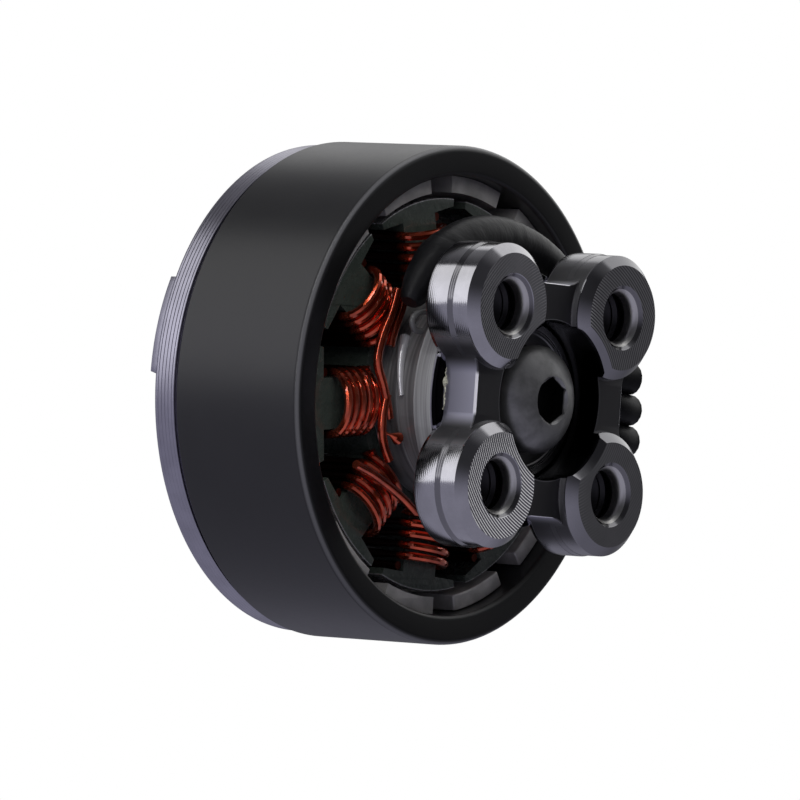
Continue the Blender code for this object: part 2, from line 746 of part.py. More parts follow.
def make_screw():
    """Button-head screw that holds the shaft down in the lower bearing."""
    dome_height = SCREW_HEAD_HEIGHT - SCREW_RIM_HEIGHT
    flat = HEX_ACROSS_FLATS * 0.62
    shank = SHAFT_THREAD_RADIUS - PRESS_GAP
    dome = []
    for i in range(3):
        share = i / 2
        radius = SCREW_HEAD_RADIUS - (SCREW_HEAD_RADIUS - flat) * share
        rise = math.sqrt(max(1.0 - (radius / SCREW_HEAD_RADIUS) ** 2, 0.0))
        full = math.sqrt(1.0 - (flat / SCREW_HEAD_RADIUS) ** 2)
        dome.append((radius, HEAD_TOP - SCREW_RIM_HEIGHT - dome_height * rise / full))
    profile = [
        (0.0, HEAD_TOP + SCREW_LENGTH),
        (shank, HEAD_TOP + SCREW_LENGTH),
        (shank, HEAD_TOP),
        (SCREW_HEAD_RADIUS, HEAD_TOP),
    ] + dome + [(0.0, HEAD_BOTTOM)]
    screw = turned("retaining_screw", profile, BEARING_STEPS, DARK_STEEL, ring=False)
    corner = HEX_ACROSS_FLATS / math.sqrt(3.0)
    clear = CUT_CLEARANCE
    hexagon = arc((0.0, 0.0), corner, math.pi / 6, math.pi / 6 + math.tau, 7)[:-1]
    height = HEX_DEPTH + clear
    name = "hex_socket"
    socket = outline_object(name, [hexagon], HEAD_BOTTOM - clear, height, DARK_STEEL, CUTTERS)
    combine(screw, as_mesh(socket), "DIFFERENCE")
    return screw


def make_bearing(prefix, bottom):
    """Shielded ball bearing: two rings, two shields, and the balls in their cage."""
    top = bottom + BEARING_WIDTH
    middle = (bottom + top) / 2
    pitch_radius = (BEARING_BORE_RADIUS + BEARING_OUTER_RADIUS) / 2
    groove = BALL_RADIUS + RUNNING_GAP
    groove_half = BALL_RADIUS * 0.75
    shield_seat = OUTER_RING_SHOULDER + SHIELD_BITE
    seat_depth = SHIELD_INSET + SHIELD_THICKNESS + SEAT_GAP
    outer = [
        (BEARING_OUTER_RADIUS, top),
        (BEARING_OUTER_RADIUS, bottom),
        (shield_seat, bottom),
        (shield_seat, bottom + seat_depth),
        (OUTER_RING_SHOULDER, bottom + seat_depth),
        (OUTER_RING_SHOULDER, middle - groove_half),
        (pitch_radius + groove, middle),
        (OUTER_RING_SHOULDER, middle + groove_half),
        (OUTER_RING_SHOULDER, top - seat_depth),
        (shield_seat, top - seat_depth),
        (shield_seat, top),
    ]
    turned(f"{prefix}_bearing_outer_ring", outer, BEARING_STEPS, BRIGHT_STEEL)
    bore = BEARING_BORE_RADIUS + PRESS_GAP
    inner = [
        (INNER_RING_SHOULDER, top),
        (INNER_RING_SHOULDER, middle + groove_half),
        (pitch_radius - groove, middle),
        (INNER_RING_SHOULDER, middle - groove_half),
        (INNER_RING_SHOULDER, bottom),
        (bore, bottom),
        (bore, top),
    ]
    turned(f"{prefix}_bearing_inner_ring", inner, BEARING_STEPS, BRIGHT_STEEL)
    shield_outer = shield_seat - PRESS_GAP
    shield_inner = INNER_RING_SHOULDER + RUNNING_GAP * 2
    upper_low = top - SHIELD_INSET - SHIELD_THICKNESS
    for side, low in (("lower", bottom + SHIELD_INSET), ("upper", upper_low)):
        high = low + SHIELD_THICKNESS
        profile = [
            (shield_outer, high),
            (shield_outer, low),
            (shield_inner, low),
            (shield_inner, high),
        ]
        turned(f"{prefix}_bearing_{side}_shield", profile, BEARING_STEPS, DARK_STEEL)
    make_ball_cage(f"{prefix}_bearing_balls", pitch_radius, middle)


def make_ball_cage(name, pitch_radius, middle):
    """Crown cage with its balls, as one solid that rolls round between the rings."""
    low = middle + BALL_RADIUS - CAGE_HEIGHT
    inner = pitch_radius - CAGE_THICKNESS / 2
    outer = pitch_radius + CAGE_THICKNESS / 2
    profile = [
        (outer, low + CAGE_HEIGHT),
        (outer, low),
        (inner, low),
        (inner, low + CAGE_HEIGHT),
    ]
    cage = turned(name, profile, CAGE_STEPS, CAGE_STEEL)
    balls = bmesh.new()
    for i in range(BALL_COUNT):
        angle = math.tau * (i + 0.5) / BALL_COUNT
        spot = Vector((*turn_point((pitch_radius, 0.0), angle), middle))
        spin = Matrix.Translation(spot) @ Matrix.Rotation(angle, 4, "Z")
        bmesh.ops.create_icosphere(balls, subdivisions=1, radius=BALL_RADIUS, matrix=spin)
    combine(cage, mesh_object(f"{name}_set", balls, CAGE_STEEL, CUTTERS), "UNION")
    return cage


def smooth_route(stops, count):
    """Points along a smooth curve through the stops, for a wire or a lead."""
    vectors = [Vector(stop) for stop in stops]
    first = vectors[0] * 2 - vectors[1]
    last = vectors[-1] * 2 - vectors[-2]
    knots = [first] + vectors + [last]
    route = []
    for i in range(len(vectors) - 1):
        p0, p1, p2, p3 = knots[i : i + 4]
        for step in range(count):
            t = step / count
            bend = p0 * 2 - p1 * 5 + p2 * 4 - p3
            turn = p1 * 3 - p0 - p2 * 3 + p3
            route.append(((p1 * 2) + (p2 - p0) * t + bend * t**2 + turn * t**3) / 2)
    route.append(vectors[-1])
    return route


def make_sleeve():
    """Black sleeve over the phase wires, wrapped round the neck beside the flange."""
    route = arc((0.0, 0.0), SLEEVE_PATH_RADIUS, SLEEVE_START, SLEEVE_END, 13)
    points = [(x, y, SLEEVE_HEIGHT) for x, y in route]
    return tube_object("lead_sleeve", points, SLEEVE_RADIUS, 2, BLACK_SLEEVE)


def make_leads():
    """Three phase leads, trimmed square on one plane beyond the flange."""
    exit_height = BOSS_HEIGHT + LEAD_DIAMETER * 0.4
    run = LEAD_END - SLEEVE_PATH_RADIUS
    start_angle = SLEEVE_END + LEAD_START_GAP / SLEEVE_PATH_RADIUS
    start = turn_point((SLEEVE_PATH_RADIUS, 0.0), start_angle)
    ahead = turn_point((SLEEVE_PATH_RADIUS, 0.0), SLEEVE_END + math.radians(10.0))
    stops = [
        (*start, SLEEVE_HEIGHT),
        (*ahead, SLEEVE_HEIGHT - LEAD_DIAMETER * 0.1),
        (SLEEVE_PATH_RADIUS + run * 0.25, -LEAD_PITCH * 1.1, exit_height + LEAD_DIAMETER * 0.2),
        (LEAD_END, -LEAD_PITCH, exit_height),
    ]
    tube_object("phase_lead_1", smooth_route(stops, 2), LEAD_DIAMETER / 2, 1, BLACK_SILICONE)
    for i in (0, 1):
        y = LEAD_PITCH * i
        top = JUMPER_HEIGHT - LEAD_DIAMETER * 0.2
        stops = [
            (SLEEVE_PATH_RADIUS, y, top),
            (SLEEVE_PATH_RADIUS + run * 0.06, y, (top + exit_height) / 2),
            (SLEEVE_PATH_RADIUS + run * 0.4, y, exit_height),
            (LEAD_END, y, exit_height),
        ]
        name = f"phase_lead_{i + 2}"
        tube_object(name, smooth_route(stops, 2), LEAD_DIAMETER / 2, 1, BLACK_SILICONE)


def make_jumpers():
    """Bare winding wires that cross from coil to coil below the end turns.

    A stop is a share of the way from the yoke to the shoes, and a direction in degrees.
    """
    routes = {
        "jumper_wire_1": [(0.43, 222.3), (0.30, 204.4), (0.43, 190.9), (0.26, 179.2), (0.02, 163.9)],
        "jumper_wire_2": [(0.75, 153.1), (0.52, 143.4), (0.34, 132.2), (0.24, 116.9)],
    }
    winding_depth = SHOE_ROOT_RADIUS - YOKE_RADIUS
    for name, stops in routes.items():
        places = []
        for share, direction in stops:
            radius = YOKE_RADIUS + winding_depth * share
            x, y = turn_point((radius, 0.0), math.radians(direction))
            places.append((x, y, JUMPER_HEIGHT))
        tube_object(name, smooth_route(places, 3), JUMPER_DIAMETER / 2, 0, ENAMEL_WIRE)


def make_motor():
    """Build every piece of the motor."""
    make_base()
    make_stator_core()
    make_coils()
    make_sleeve()
    make_leads()
    make_jumpers()
    make_flux_ring()
    make_magnets()
    make_cap()
    make_shaft()
    make_screw()
    washer("screw_washer", WASHER_BOTTOM, LOWER_WASHER_THICKNESS)
    washer("shim_washer", SHIM_BOTTOM, SHIM_THICKNESS)
    make_bearing("lower", LOWER_BEARING_BOTTOM)
    make_bearing("upper", UPPER_BEARING_BOTTOM)


make_motor()
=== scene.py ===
"""Looks of a brushless drone motor, laid out as a Blender add-on and run as a script.

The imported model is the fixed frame. Each operator dresses one piece, or a group of like
pieces, over the frame, and the last operator sets the stage. Lengths are in metres.
"""
import math
import random

import bmesh
import bpy
from bpy.props import FloatProperty, FloatVectorProperty, IntProperty, PointerProperty
from mathutils import Matrix, Vector


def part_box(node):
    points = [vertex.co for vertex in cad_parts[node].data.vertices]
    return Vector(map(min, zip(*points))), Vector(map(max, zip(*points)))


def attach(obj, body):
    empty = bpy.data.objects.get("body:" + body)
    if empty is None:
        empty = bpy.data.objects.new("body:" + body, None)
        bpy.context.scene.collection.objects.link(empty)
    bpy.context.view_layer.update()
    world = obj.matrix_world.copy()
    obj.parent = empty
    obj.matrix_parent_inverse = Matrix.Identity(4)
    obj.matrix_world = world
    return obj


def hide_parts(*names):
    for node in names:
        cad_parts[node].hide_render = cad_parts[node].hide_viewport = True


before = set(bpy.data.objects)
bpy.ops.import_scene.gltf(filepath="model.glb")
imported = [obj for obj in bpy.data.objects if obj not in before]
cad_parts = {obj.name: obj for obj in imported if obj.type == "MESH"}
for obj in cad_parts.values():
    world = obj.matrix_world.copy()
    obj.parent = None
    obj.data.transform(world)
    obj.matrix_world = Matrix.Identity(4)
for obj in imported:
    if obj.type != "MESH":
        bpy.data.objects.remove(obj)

bl_info = {
    "name": "Drone motor looks",
    "version": (1, 0, 0),
    "blender": (4, 5, 0),
    "location": "3D View > Sidebar > Motor",
    "description": "Finishes, windings, threads and turned grooves of a brushless drone motor",
    "category": "Object",
}

MM = 0.001
HALF_TURN = math.pi
FULL_TURN = math.tau
WELD = 1e-7
SHARP = math.radians(32.0)
PRESS_GAP = 0.03 * MM

# Paints of the base and the ring, with full alpha
VARNISH = (0.25, 0.245, 0.245, 1.0)
DARK_VARNISH = (0.13, 0.128, 0.128, 1.0)
FLANGE_GREY = (0.48, 0.485, 0.48, 1.0)
# Painted shadow under the flange beside the webs
UNDERCUT_SHADOW = (0.004, 0.004, 0.005, 1.0)
# Painted highlight: a lighter grey on the rounded outer edge of the ring's mouth
RING_EDGE_HIGHLIGHT = (0.10, 0.10, 0.105, 1.0)

# Corners of the pieces' boxes, as the frame gives them
BASE_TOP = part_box("base")[1].z
CORE_LOW, CORE_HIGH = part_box("stator_core")
RING_LOW, RING_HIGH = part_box("flux_ring")
MAGNET_LOW, MAGNET_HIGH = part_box("magnet_01")
CAP_LOW, CAP_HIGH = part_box("bell_cap")
SHAFT_LOW, SHAFT_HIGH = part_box("shaft")
SCREW_LOW, SCREW_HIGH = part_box("retaining_screw")
SLEEVE_LOW, SLEEVE_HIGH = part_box("lead_sleeve")
JUMPER_LOW, JUMPER_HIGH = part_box("jumper_wire_1")
LEAD_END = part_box("phase_lead_1")[1].x

# Sizes that several pieces share
BELL_RADIUS = RING_HIGH.x
BOSS_SPACING = 9.0 * MM
TUBE_RADIUS = 4.83 * MM
NECK_RADIUS = 5.35 * MM
STATOR_RADIUS = 10.0 * MM
YOKE_RADIUS = 6.1 * MM
TOOTH_HALF_WIDTH = 1.3 * MM
SHOE_ROOT = 9.2 * MM
TOOTH_COUNT = 9
FIRST_TOOTH = math.radians(173.6)
TOOTH_ANGLES = [FIRST_TOOTH + FULL_TURN * i / TOOTH_COUNT for i in range(TOOTH_COUNT)]
JUMPER_HEIGHT = (JUMPER_LOW.z + JUMPER_HIGH.z) / 2
SLEEVE_HEIGHT = (SLEEVE_LOW.z + SLEEVE_HIGH.z) / 2
SLEEVE_PATH = 8.0 * MM
SLEEVE_START = math.radians(-147.0)
SLEEVE_END = math.radians(-36.0)


class Value:
    """A number that varies over a surface, so that shader maths reads as Python."""

    def __init__(self, finish, socket):
        self.finish = finish
        self.socket = socket

    def maths(self, operation, *values):
        """The result of a Math node."""
        return self.finish.add("ShaderNodeMath", {"operation": operation}, values)

    def __add__(self, other):
        return self.maths("ADD", self, other)

    def __radd__(self, other):
        return self.maths("ADD", other, self)

    def __sub__(self, other):
        return self.maths("SUBTRACT", self, other)

    def __rsub__(self, other):
        return self.maths("SUBTRACT", other, self)

    def __mul__(self, other):
        return self.maths("MULTIPLY", self, other)

    def __rmul__(self, other):
        return self.maths("MULTIPLY", other, self)

    def __pow__(self, other):
        return self.maths("POWER", self, other)

    def sine(self):
        """Its sine."""
        return self.maths("SINE", self)

    def size(self):
        """Its size without its sign."""
        return self.maths("ABSOLUTE", self)

    def smaller(self, other):
        """The smaller of two values."""
        return self.maths("MINIMUM", self, other)

    def rises(self, start, end):
        """0 below start and 1 above end, with a smooth rise between them."""
        return self.ramp(start, end, 0.0, 1.0)

    def falls(self, start, end):
        """1 below start and 0 above end, with a smooth fall between them."""
        return self.ramp(start, end, 1.0, 0.0)

    def ramp(self, start, end, low, high):
        """The value low up to start and high from end on, with a smooth change between them."""
        settings = {"interpolation_type": "SMOOTHSTEP"}
        return self.finish.add("ShaderNodeMapRange", settings, (self, start, end, low, high))


class Finish:
    """The node tree of one material, or of the world."""

    def __init__(self, tree):
        self.tree = tree
        self.tree.nodes.clear()

    def add(self, kind, settings=None, values=None, output=0):
        """Add a node, with its settings first and then its sockets' values or links."""
        node = self.tree.nodes.new(kind)
        for key, setting in (settings or {}).items():
            setattr(node, key, setting)
        pairs = values.items() if isinstance(values, dict) else enumerate(values or ())
        for key, value in pairs:
            if isinstance(value, Value):
                self.tree.links.new(value.socket, node.inputs[key])
            else:
                node.inputs[key].default_value = value
        if not node.outputs:
            return None
        return Value(self, node.outputs[output])

    def blend(self, factor, first, second):
        """Colour between first and second."""
        return self.add("ShaderNodeMix", {"data_type": "RGBA"}, {0: factor, 6: first, 7: second}, 2)

    def place(self):
        """Place on the piece in millimetres, as a vector."""
        point = self.add("ShaderNodeTexCoord", output=3)
        return self.add("ShaderNodeVectorMath", {"operation": "SCALE"}, {0: point, 3: 1.0 / MM})

    def parts(self, vector):
        """The x, y and z of a vector."""
        x = self.add("ShaderNodeSeparateXYZ", None, {0: vector})
        node = x.socket.node
        return x, Value(self, node.outputs[1]), Value(self, node.outputs[2])

    def flatness(self):
        """1 on faces square to the motor's axis, and 0 on the turned sides."""
        normal = self.add("ShaderNodeNewGeometry", output=1)
        return self.parts(normal)[2].size().rises(0.93, 0.99)

    def around(self, place):
        """Radius from the motor's axis, angle round it, and height, in millimetres."""
        x, y, z = self.parts(place)
        radius = (x * x + y * y) ** 0.5
        angle = self.add("ShaderNodeMath", {"operation": "ARCTAN2"}, (0.0 - y, 0.0 - x))
        return radius, angle, z

    def noise(self, vector, scale, detail=3.0):
        """Soft noise from 0 to 1."""
        values = {"Vector": vector, "Scale": scale, "Detail": detail, "Roughness": 0.55}
        return self.add("ShaderNodeTexNoise", None, values)

    def toward(self, way, direction):
        """How far a way points toward a direction, from -1 to 1."""
        values = {0: way, 1: Vector(direction).normalized()}
        return self.add("ShaderNodeVectorMath", {"operation": "DOT_PRODUCT"}, values, 1)

    def vector(self, x, y, z):
        """A vector from three values."""
        return self.add("ShaderNodeCombineXYZ", None, (x, y, z))

    def bump(self, height, depth):
        """A normal roughened by a height, which is scaled to a depth in metres."""
        values = {"Strength": 1.0, "Distance": depth, "Height": height}
        return self.add("ShaderNodeBump", None, values)

    def surface(self, colour, metallic, roughness, height, depth, others=None):
        """End the tree in a Principled shader, bumped by a height that is scaled to a depth."""
        normal = self.bump(height, depth)
        sockets = {"Base Color": colour, "Metallic": metallic, "Roughness": roughness, "Normal": normal}
        shader = self.add("ShaderNodeBsdfPrincipled", None, sockets | (others or {}))
        self.add("ShaderNodeOutputMaterial", None, {0: shader})


def opaque(colour):
    """A colour property with full alpha."""
    return (*colour, 1.0)


def shade(colour, factor):
    """A colour property made lighter or darker, with full alpha."""
    return (*(min(part * factor, 1.0) for part in colour), 1.0)


def new_finish(name):
    """A new material, its node tree, and the place on the piece in millimetres."""
    material = bpy.data.materials.new(name)
    material.use_nodes = True
    finish = Finish(material.node_tree)
    return material, finish, finish.place()


def boss_reach(finish, place):
    """Distance from the axis of the nearest boss, in millimetres."""
    half = BOSS_SPACING / 2 / MM
    x, y, _ = finish.parts(place)
    across = x.size() - half
    along = y.size() - half
    return (across * across + along * along) ** 0.5


def turned_streaks(finish, place):
    """Fine streaks round the motor's axis and a soft cloud, which grey aluminium shows."""
    radius, angle, height = finish.around(place)
    streaks = finish.noise(finish.vector(radius * 9.0, angle * 1.2, height * 9.0), 1.0, 4.0)
    cloud = finish.noise(place, 0.8, 4.0).rises(0.35, 0.7)
    return streaks, cloud * 0.5 + streaks * 0.3


def base_aluminium(colour, roughness, pitch, depth):
    """Grey anodised aluminium of the base: turned bosses, milled webs and a varnished neck, with painted
    shade and painted highlights laid over it.
    """
    material, finish, place = new_finish("base_aluminium")
    x, y, z = finish.parts(place)
    radius, angle, _ = finish.around(place)
    reach = boss_reach(finish, place)
    narrow = x.size().smaller(y.size())
    flat = finish.flatness()
    streaks, mottle = turned_streaks(finish, place)

    # Grooves on the boss faces, lines and a dark band of painted shade round the boss sides, and painted
    # shade over the far side of the base
    far_side_shade = x.rises(0.3, 3.0)
    face = flat * z.falls(0.02, 0.08)
    wander = finish.noise(place, 1.3) * 0.0125
    grooves = ((radius + wander) * (FULL_TURN / pitch)).sine() * face * (1.0 - far_side_shade * 0.75)
    side = z.rises(0.45, 0.55) * reach.falls(3.22, 3.26)
    lines = (z * (FULL_TURN / 0.12)).sine() * side * 0.05
    # Painted shade: the band is coloured darker
    band = z.rises(1.38, 1.41) * z.falls(1.69, 1.72) * side

    # Painted shade on the countersink, a painted highlight on the lip and painted shade in the hollow of
    # a tapped hole, and painted shade in the recess round the screw
    cone = reach.falls(1.66, 1.7) * z.rises(0.01, 0.05)
    # Painted highlight: the lip is coloured lighter
    lip = reach.falls(1.46, 1.5) * z.rises(0.15, 0.2)
    # Painted shade: the hollow is coloured near black
    hollow = reach.falls(1.42, 1.5) * z.rises(0.86, 0.96)
    # Painted shade: the recess is coloured near black
    recess = radius.falls(4.05, 4.1) * z.rises(0.35, 0.6)

    # Milled webs between the bosses, with painted shade on their faces, a painted highlight along their
    # edges and painted shade on their waisted sides
    outside_recess = radius.rises(4.08, 4.12)
    milled = reach.rises(3.215, 3.24) * z.rises(0.7, 0.8) * outside_recess
    # Painted shade: the web faces are coloured darker
    web_face = milled * z.falls(0.9, 1.0)
    # Painted highlight: a lighter, less metallic line along the web edges
    web_edge = milled * (1.0 - flat) * z.falls(1.0, 1.04) * narrow.falls(0.9, 1.15)
    # Painted shade: darker, duller colour in the waisted corners beside the bosses
    waist = narrow.rises(0.95, 1.75) * narrow.falls(2.2, 3.1)
    corner = waist * z.rises(0.5, 0.6) * z.falls(2.8, 2.9) * outside_recess
    waist_shade = corner * (1.0 - web_face)
    flank = (colour[0] * 0.88, colour[1] * 0.88, colour[2] * 0.98, 1.0)

    # Varnish on the flange and the neck, and painted shadow under the flange
    varnish = z.rises(3.2, 3.3)
    rim = radius.rises(6.35, 6.5)
    layers = finish.noise(finish.vector(z * 4.0, angle * 0.6, 0.0), 1.0, 3.0).rises(0.3, 0.7)
    skin = finish.blend(layers, VARNISH, finish.blend(rim, DARK_VARNISH, FLANGE_GREY))
    # Painted shadow: black under the flange
    undercut_shadow = z.rises(2.86, 2.92) * z.falls(3.15, 3.2) * reach.rises(3.3, 3.36)

    body = finish.blend(mottle, shade(colour, 0.86), shade(colour, 1.08))
    # Colour layers: painted shade, painted highlights, painted shadow and varnish over the metal
    coats = (
        (far_side_shade * (1.0 - face * 0.5), shade(colour, 0.5)),
        (band, shade(colour, 0.5)),
        (cone, shade(colour, 0.45)),
        (lip, (colour[0] * 1.35, colour[1] * 1.35, colour[2] * 1.25, 1.0)),
        (hollow, shade(colour, 0.08)),
        (recess, shade(colour, 0.04)),
        (milled, finish.blend(web_face, flank, shade(colour, 0.2))),
        (waist_shade, shade(colour, 0.1)),
        (web_edge, shade(colour, 1.8)),
        (varnish * (1.0 - recess), skin),
        (undercut_shadow * radius.rises(5.92, 5.98), UNDERCUT_SHADOW),
    )
    for mask, coat in coats:
        body = finish.blend(mask, body, coat)
    dullness = milled * 0.3 + lip * 0.2 + varnish * 0.18 + waist_shade * (1.0 - milled) * 0.3
    finish.surface(
        colour=body,
        metallic=1.0 - varnish * 0.8 - waist_shade * 0.7 - web_edge * 0.8,
        roughness=streaks * 0.08 + dullness + (roughness - 0.04),
        height=grooves + lines + streaks * 0.015,
        depth=depth,
    )
    return material


def turned_aluminium(name, colour, roughness, pitch, depth):
    """Grey anodised aluminium with fine grooves turned about the motor's axis."""
    material, finish, place = new_finish(name)
    radius, _, height = finish.around(place)
    streaks, mottle = turned_streaks(finish, place)
    flat = finish.flatness()
    rings = (radius * (FULL_TURN / pitch)).sine()
    lines = (height * (FULL_TURN / (pitch * 0.8))).sine()
    grooves = rings * flat + lines * (1.0 - flat) * 0.05
    finish.surface(
        colour=finish.blend(mottle, shade(colour, 0.86), shade(colour, 1.08)),
        metallic=1.0,
        roughness=streaks * 0.08 + (roughness - 0.04),
        height=grooves + streaks * 0.05,
        depth=depth,
    )
    return material


def black_texture(finish, place, colour, roughness):
    """Orange-peel, colour and roughness of a black coat."""
    peel = finish.noise(place, 5.0, 2.0)
    cloud = finish.noise(place, 0.35, 3.0)
    coat = finish.blend(cloud, shade(colour, 0.85), shade(colour, 1.2))
    return peel, coat, cloud * 0.06 + peel * 0.04 + (roughness - 0.05)


def satin_black(name, colour, roughness, metallic):
    """Even black coating with a fine orange-peel."""
    material, finish, place = new_finish(name)
    peel, coat, satin = black_texture(finish, place, colour, roughness)
    finish.surface(
        colour=coat,
        metallic=metallic,
        roughness=satin,
        height=peel,
        depth=0.002 * MM,
    )
    return material


def ring_coating(colour, roughness):
    """Black coat of the ring, smoother on the rounded edge of its mouth, with a painted highlight on
    that edge and painted shade on the mouth's flat face.
    """
    material, finish, place = new_finish("ring_coat")
    radius, _, height = finish.around(place)
    low = RING_LOW.z / MM
    outer = radius.rises(BELL_RADIUS / MM - 0.2, BELL_RADIUS / MM - 0.1)
    # Painted highlight: lighter grey on the rounded outer edge
    edge = height.falls(low + 0.16, low + 0.28) * outer
    # Painted shade: the flat face of the mouth is coloured darker
    mouth = finish.flatness() * height.falls(low + 0.05, low + 0.1)
    peel, coat, satin = black_texture(finish, place, colour, roughness)
    coat = finish.blend(mouth, coat, shade(colour, 0.25))
    finish.surface(
        colour=finish.blend(edge, coat, RING_EDGE_HIGHLIGHT),
        metallic=0.0,
        roughness=satin - edge * 0.1,
        height=peel,
        depth=0.002 * MM,
    )
    return material


def magnet_plating(colour, roughness):
    """Nickel plating with a soft, slightly warm cloud."""
    material, finish, place = new_finish("magnet_plating")
    cloud = finish.noise(place, 0.9, 4.0).rises(0.3, 0.7)
    grain = finish.noise(place, 14.0, 2.0)
    finish.surface(
        colour=finish.blend(cloud, shade(colour, 0.8), shade(colour, 1.15)),
        metallic=0.35,
        roughness=grain * 0.12 + (roughness - 0.06),
        height=grain,
        depth=0.004 * MM,
    )
    return material


def stator_coating(colour, bare):
    """Dark green-black insulating coat, with ground laminations bare on the outer faces."""
    material, finish, place = new_finish("stator_coating")
    radius, _, height = finish.around(place)
    ground = radius.rises(STATOR_RADIUS / MM - 0.06, STATOR_RADIUS / MM - 0.02)
    sheets = (height * (FULL_TURN / 0.2)).sine()
    lumps = finish.noise(place, 1.6, 3.0)
    coat = finish.blend(lumps, shade(colour, 0.7), shade(colour, 1.35))
    finish.surface(
        colour=finish.blend(ground, coat, opaque(bare)),
        metallic=ground * 0.9,
        roughness=lumps * 0.14 + 0.2,
        height=lumps * 2.0 + sheets * ground * 0.3,
        depth=0.03 * MM,
        others={"Coat Weight": (1.0 - ground) * 0.4, "Coat Roughness": 0.12},
    )
    return material


def wire_enamel(colour):
    """Copper-red enamelled wire, glossy and a little uneven, with painted shade where it runs down the
    slots.
    """
    material, finish, place = new_finish("wire_enamel")
    cloud = finish.noise(place, 1.1, 3.0).rises(0.3, 0.7)
    flecks = finish.noise(place, 6.0, 2.0)
    _, _, height = finish.parts(place)
    # Painted shade: near black and dull down in the slots
    slot_shade = height.rises(7.7, 8.3) * height.falls(12.7, 13.3)
    body = finish.blend(cloud, shade(colour, 0.62), shade(colour, 1.2))
    finish.surface(
        colour=finish.blend(slot_shade, body, shade(colour, 0.03)),
        metallic=0.95,
        roughness=flecks * 0.08 + slot_shade * 0.4 + 0.13,
        height=flecks,
        depth=0.0025 * MM,
        others={"Coat Weight": 1.0 - slot_shade, "Coat Roughness": 0.06},
    )
    return material


def shrink_sleeve(name, colour, roughness):
    """Black heat-shrink or silicone skin with soft wrinkles."""
    material, finish, place = new_finish(name)
    radius, angle, height = finish.around(place)
    wrinkles = finish.noise(finish.vector(angle * 14.0, height * 0.7, radius * 0.7), 1.0, 3.0)
    grain = finish.noise(place, 10.0, 3.0)
    finish.surface(
        colour=finish.blend(grain, shade(colour, 0.8), shade(colour, 1.3)),
        metallic=0.0,
        roughness=grain * 0.1 + (roughness - 0.05),
        height=wrinkles + grain * 0.12,
        depth=0.05 * MM,
        others={"Specular IOR Level": 0.25},
    )
    return material


def machined_steel(name, colour, roughness, depth):
    """Steel with fine turning lines round the motor's axis."""
    material, finish, place = new_finish(name)
    radius, _, height = finish.around(place)
    flat = finish.flatness()
    rings = (radius * (FULL_TURN / 0.11)).sine()
    lines = (height * (FULL_TURN / 0.09)).sine()
    cloud = finish.noise(place, 1.5, 3.0)
    finish.surface(
        colour=finish.blend(cloud, shade(colour, 0.82), shade(colour, 1.15)),
        metallic=1.0,
        roughness=cloud * 0.12 + (roughness - 0.06),
        height=rings * flat + lines * (1.0 - flat),
        depth=depth,
    )
    return material


def dark_screw_steel(colour):
    """Blackened steel of the button head, matt with a slight sheen, with painted shade in the hexagon
    socket.
    """
    material, finish, place = new_finish("dark_screw_steel")
    grain = finish.noise(place, 9.0, 4.0)
    cloud = finish.noise(place, 0.9, 3.0).rises(0.3, 0.7)
    radius, _, height = finish.around(place)
    # Painted shade: near black inside the hexagon socket
    socket = radius.falls(1.24, 1.27) * height.rises(0.78, 0.84)
    head = finish.blend(cloud, shade(colour, 0.75), shade(colour, 1.25))
    finish.surface(
        colour=finish.blend(socket, head, shade(colour, 0.02)),
        metallic=0.8,
        roughness=grain * 0.12 + 0.36,
        height=grain,
        depth=0.008 * MM,
    )
    return material


def dried_glue(colour):
    """Yellowish-white dried adhesive."""
    material, finish, place = new_finish("dried_glue")
    crumbs = finish.noise(place, 8.0, 4.0)
    finish.surface(
        colour=finish.blend(crumbs.rises(0.35, 0.65), shade(colour, 0.5), opaque(colour)),
        metallic=0.0,
        roughness=crumbs * 0.2 + 0.35,
        height=crumbs,
        depth=0.03 * MM,
    )
    return material


def arc(centre, radius, start, end, count):
    """Points along an arc about a centre, both ends included."""
    step = (end - start) / (count - 1)
    angles = [start + step * i for i in range(count)]
    return [(centre[0] + radius * math.cos(a), centre[1] + radius * math.sin(a)) for a in angles]


def turn_point(point, angle):
    """Turn a flat point about the axis."""
    x, y = point
    return (x * math.cos(angle) - y * math.sin(angle), x * math.sin(angle) + y * math.cos(angle))


def link(name, data):
    """Put new object data in the scene."""
    item = bpy.data.objects.new(name, data)
    bpy.context.scene.collection.objects.link(item)
    return item


def mesh_item(name, shape, smooth=True):
    """Turn a bmesh into an object, shaded smooth up to the sharp angle."""
    bmesh.ops.remove_doubles(shape, verts=shape.verts, dist=WELD)
    bmesh.ops.dissolve_degenerate(shape, edges=shape.edges, dist=WELD)
    bmesh.ops.recalc_face_normals(shape, faces=shape.faces)
    mesh = bpy.data.meshes.new(name)
    shape.to_mesh(mesh)
    shape.free()
    if smooth:
        mesh.shade_smooth()
        mesh.set_sharp_from_angle(angle=SHARP)
    return link(name, mesh)


def settled(item):
    """Swap an object for one that holds its evaluated mesh, in the row frame."""
    bpy.context.view_layer.update()
    depsgraph = bpy.context.evaluated_depsgraph_get()
    mesh = bpy.data.meshes.new_from_object(item.evaluated_get(depsgraph))
    mesh.transform(item.matrix_world)
    name = item.name
    bpy.data.objects.remove(item, do_unlink=True)
    shape = bmesh.new()
    shape.from_mesh(mesh)
    bpy.data.meshes.remove(mesh)
    return mesh_item(name, shape)


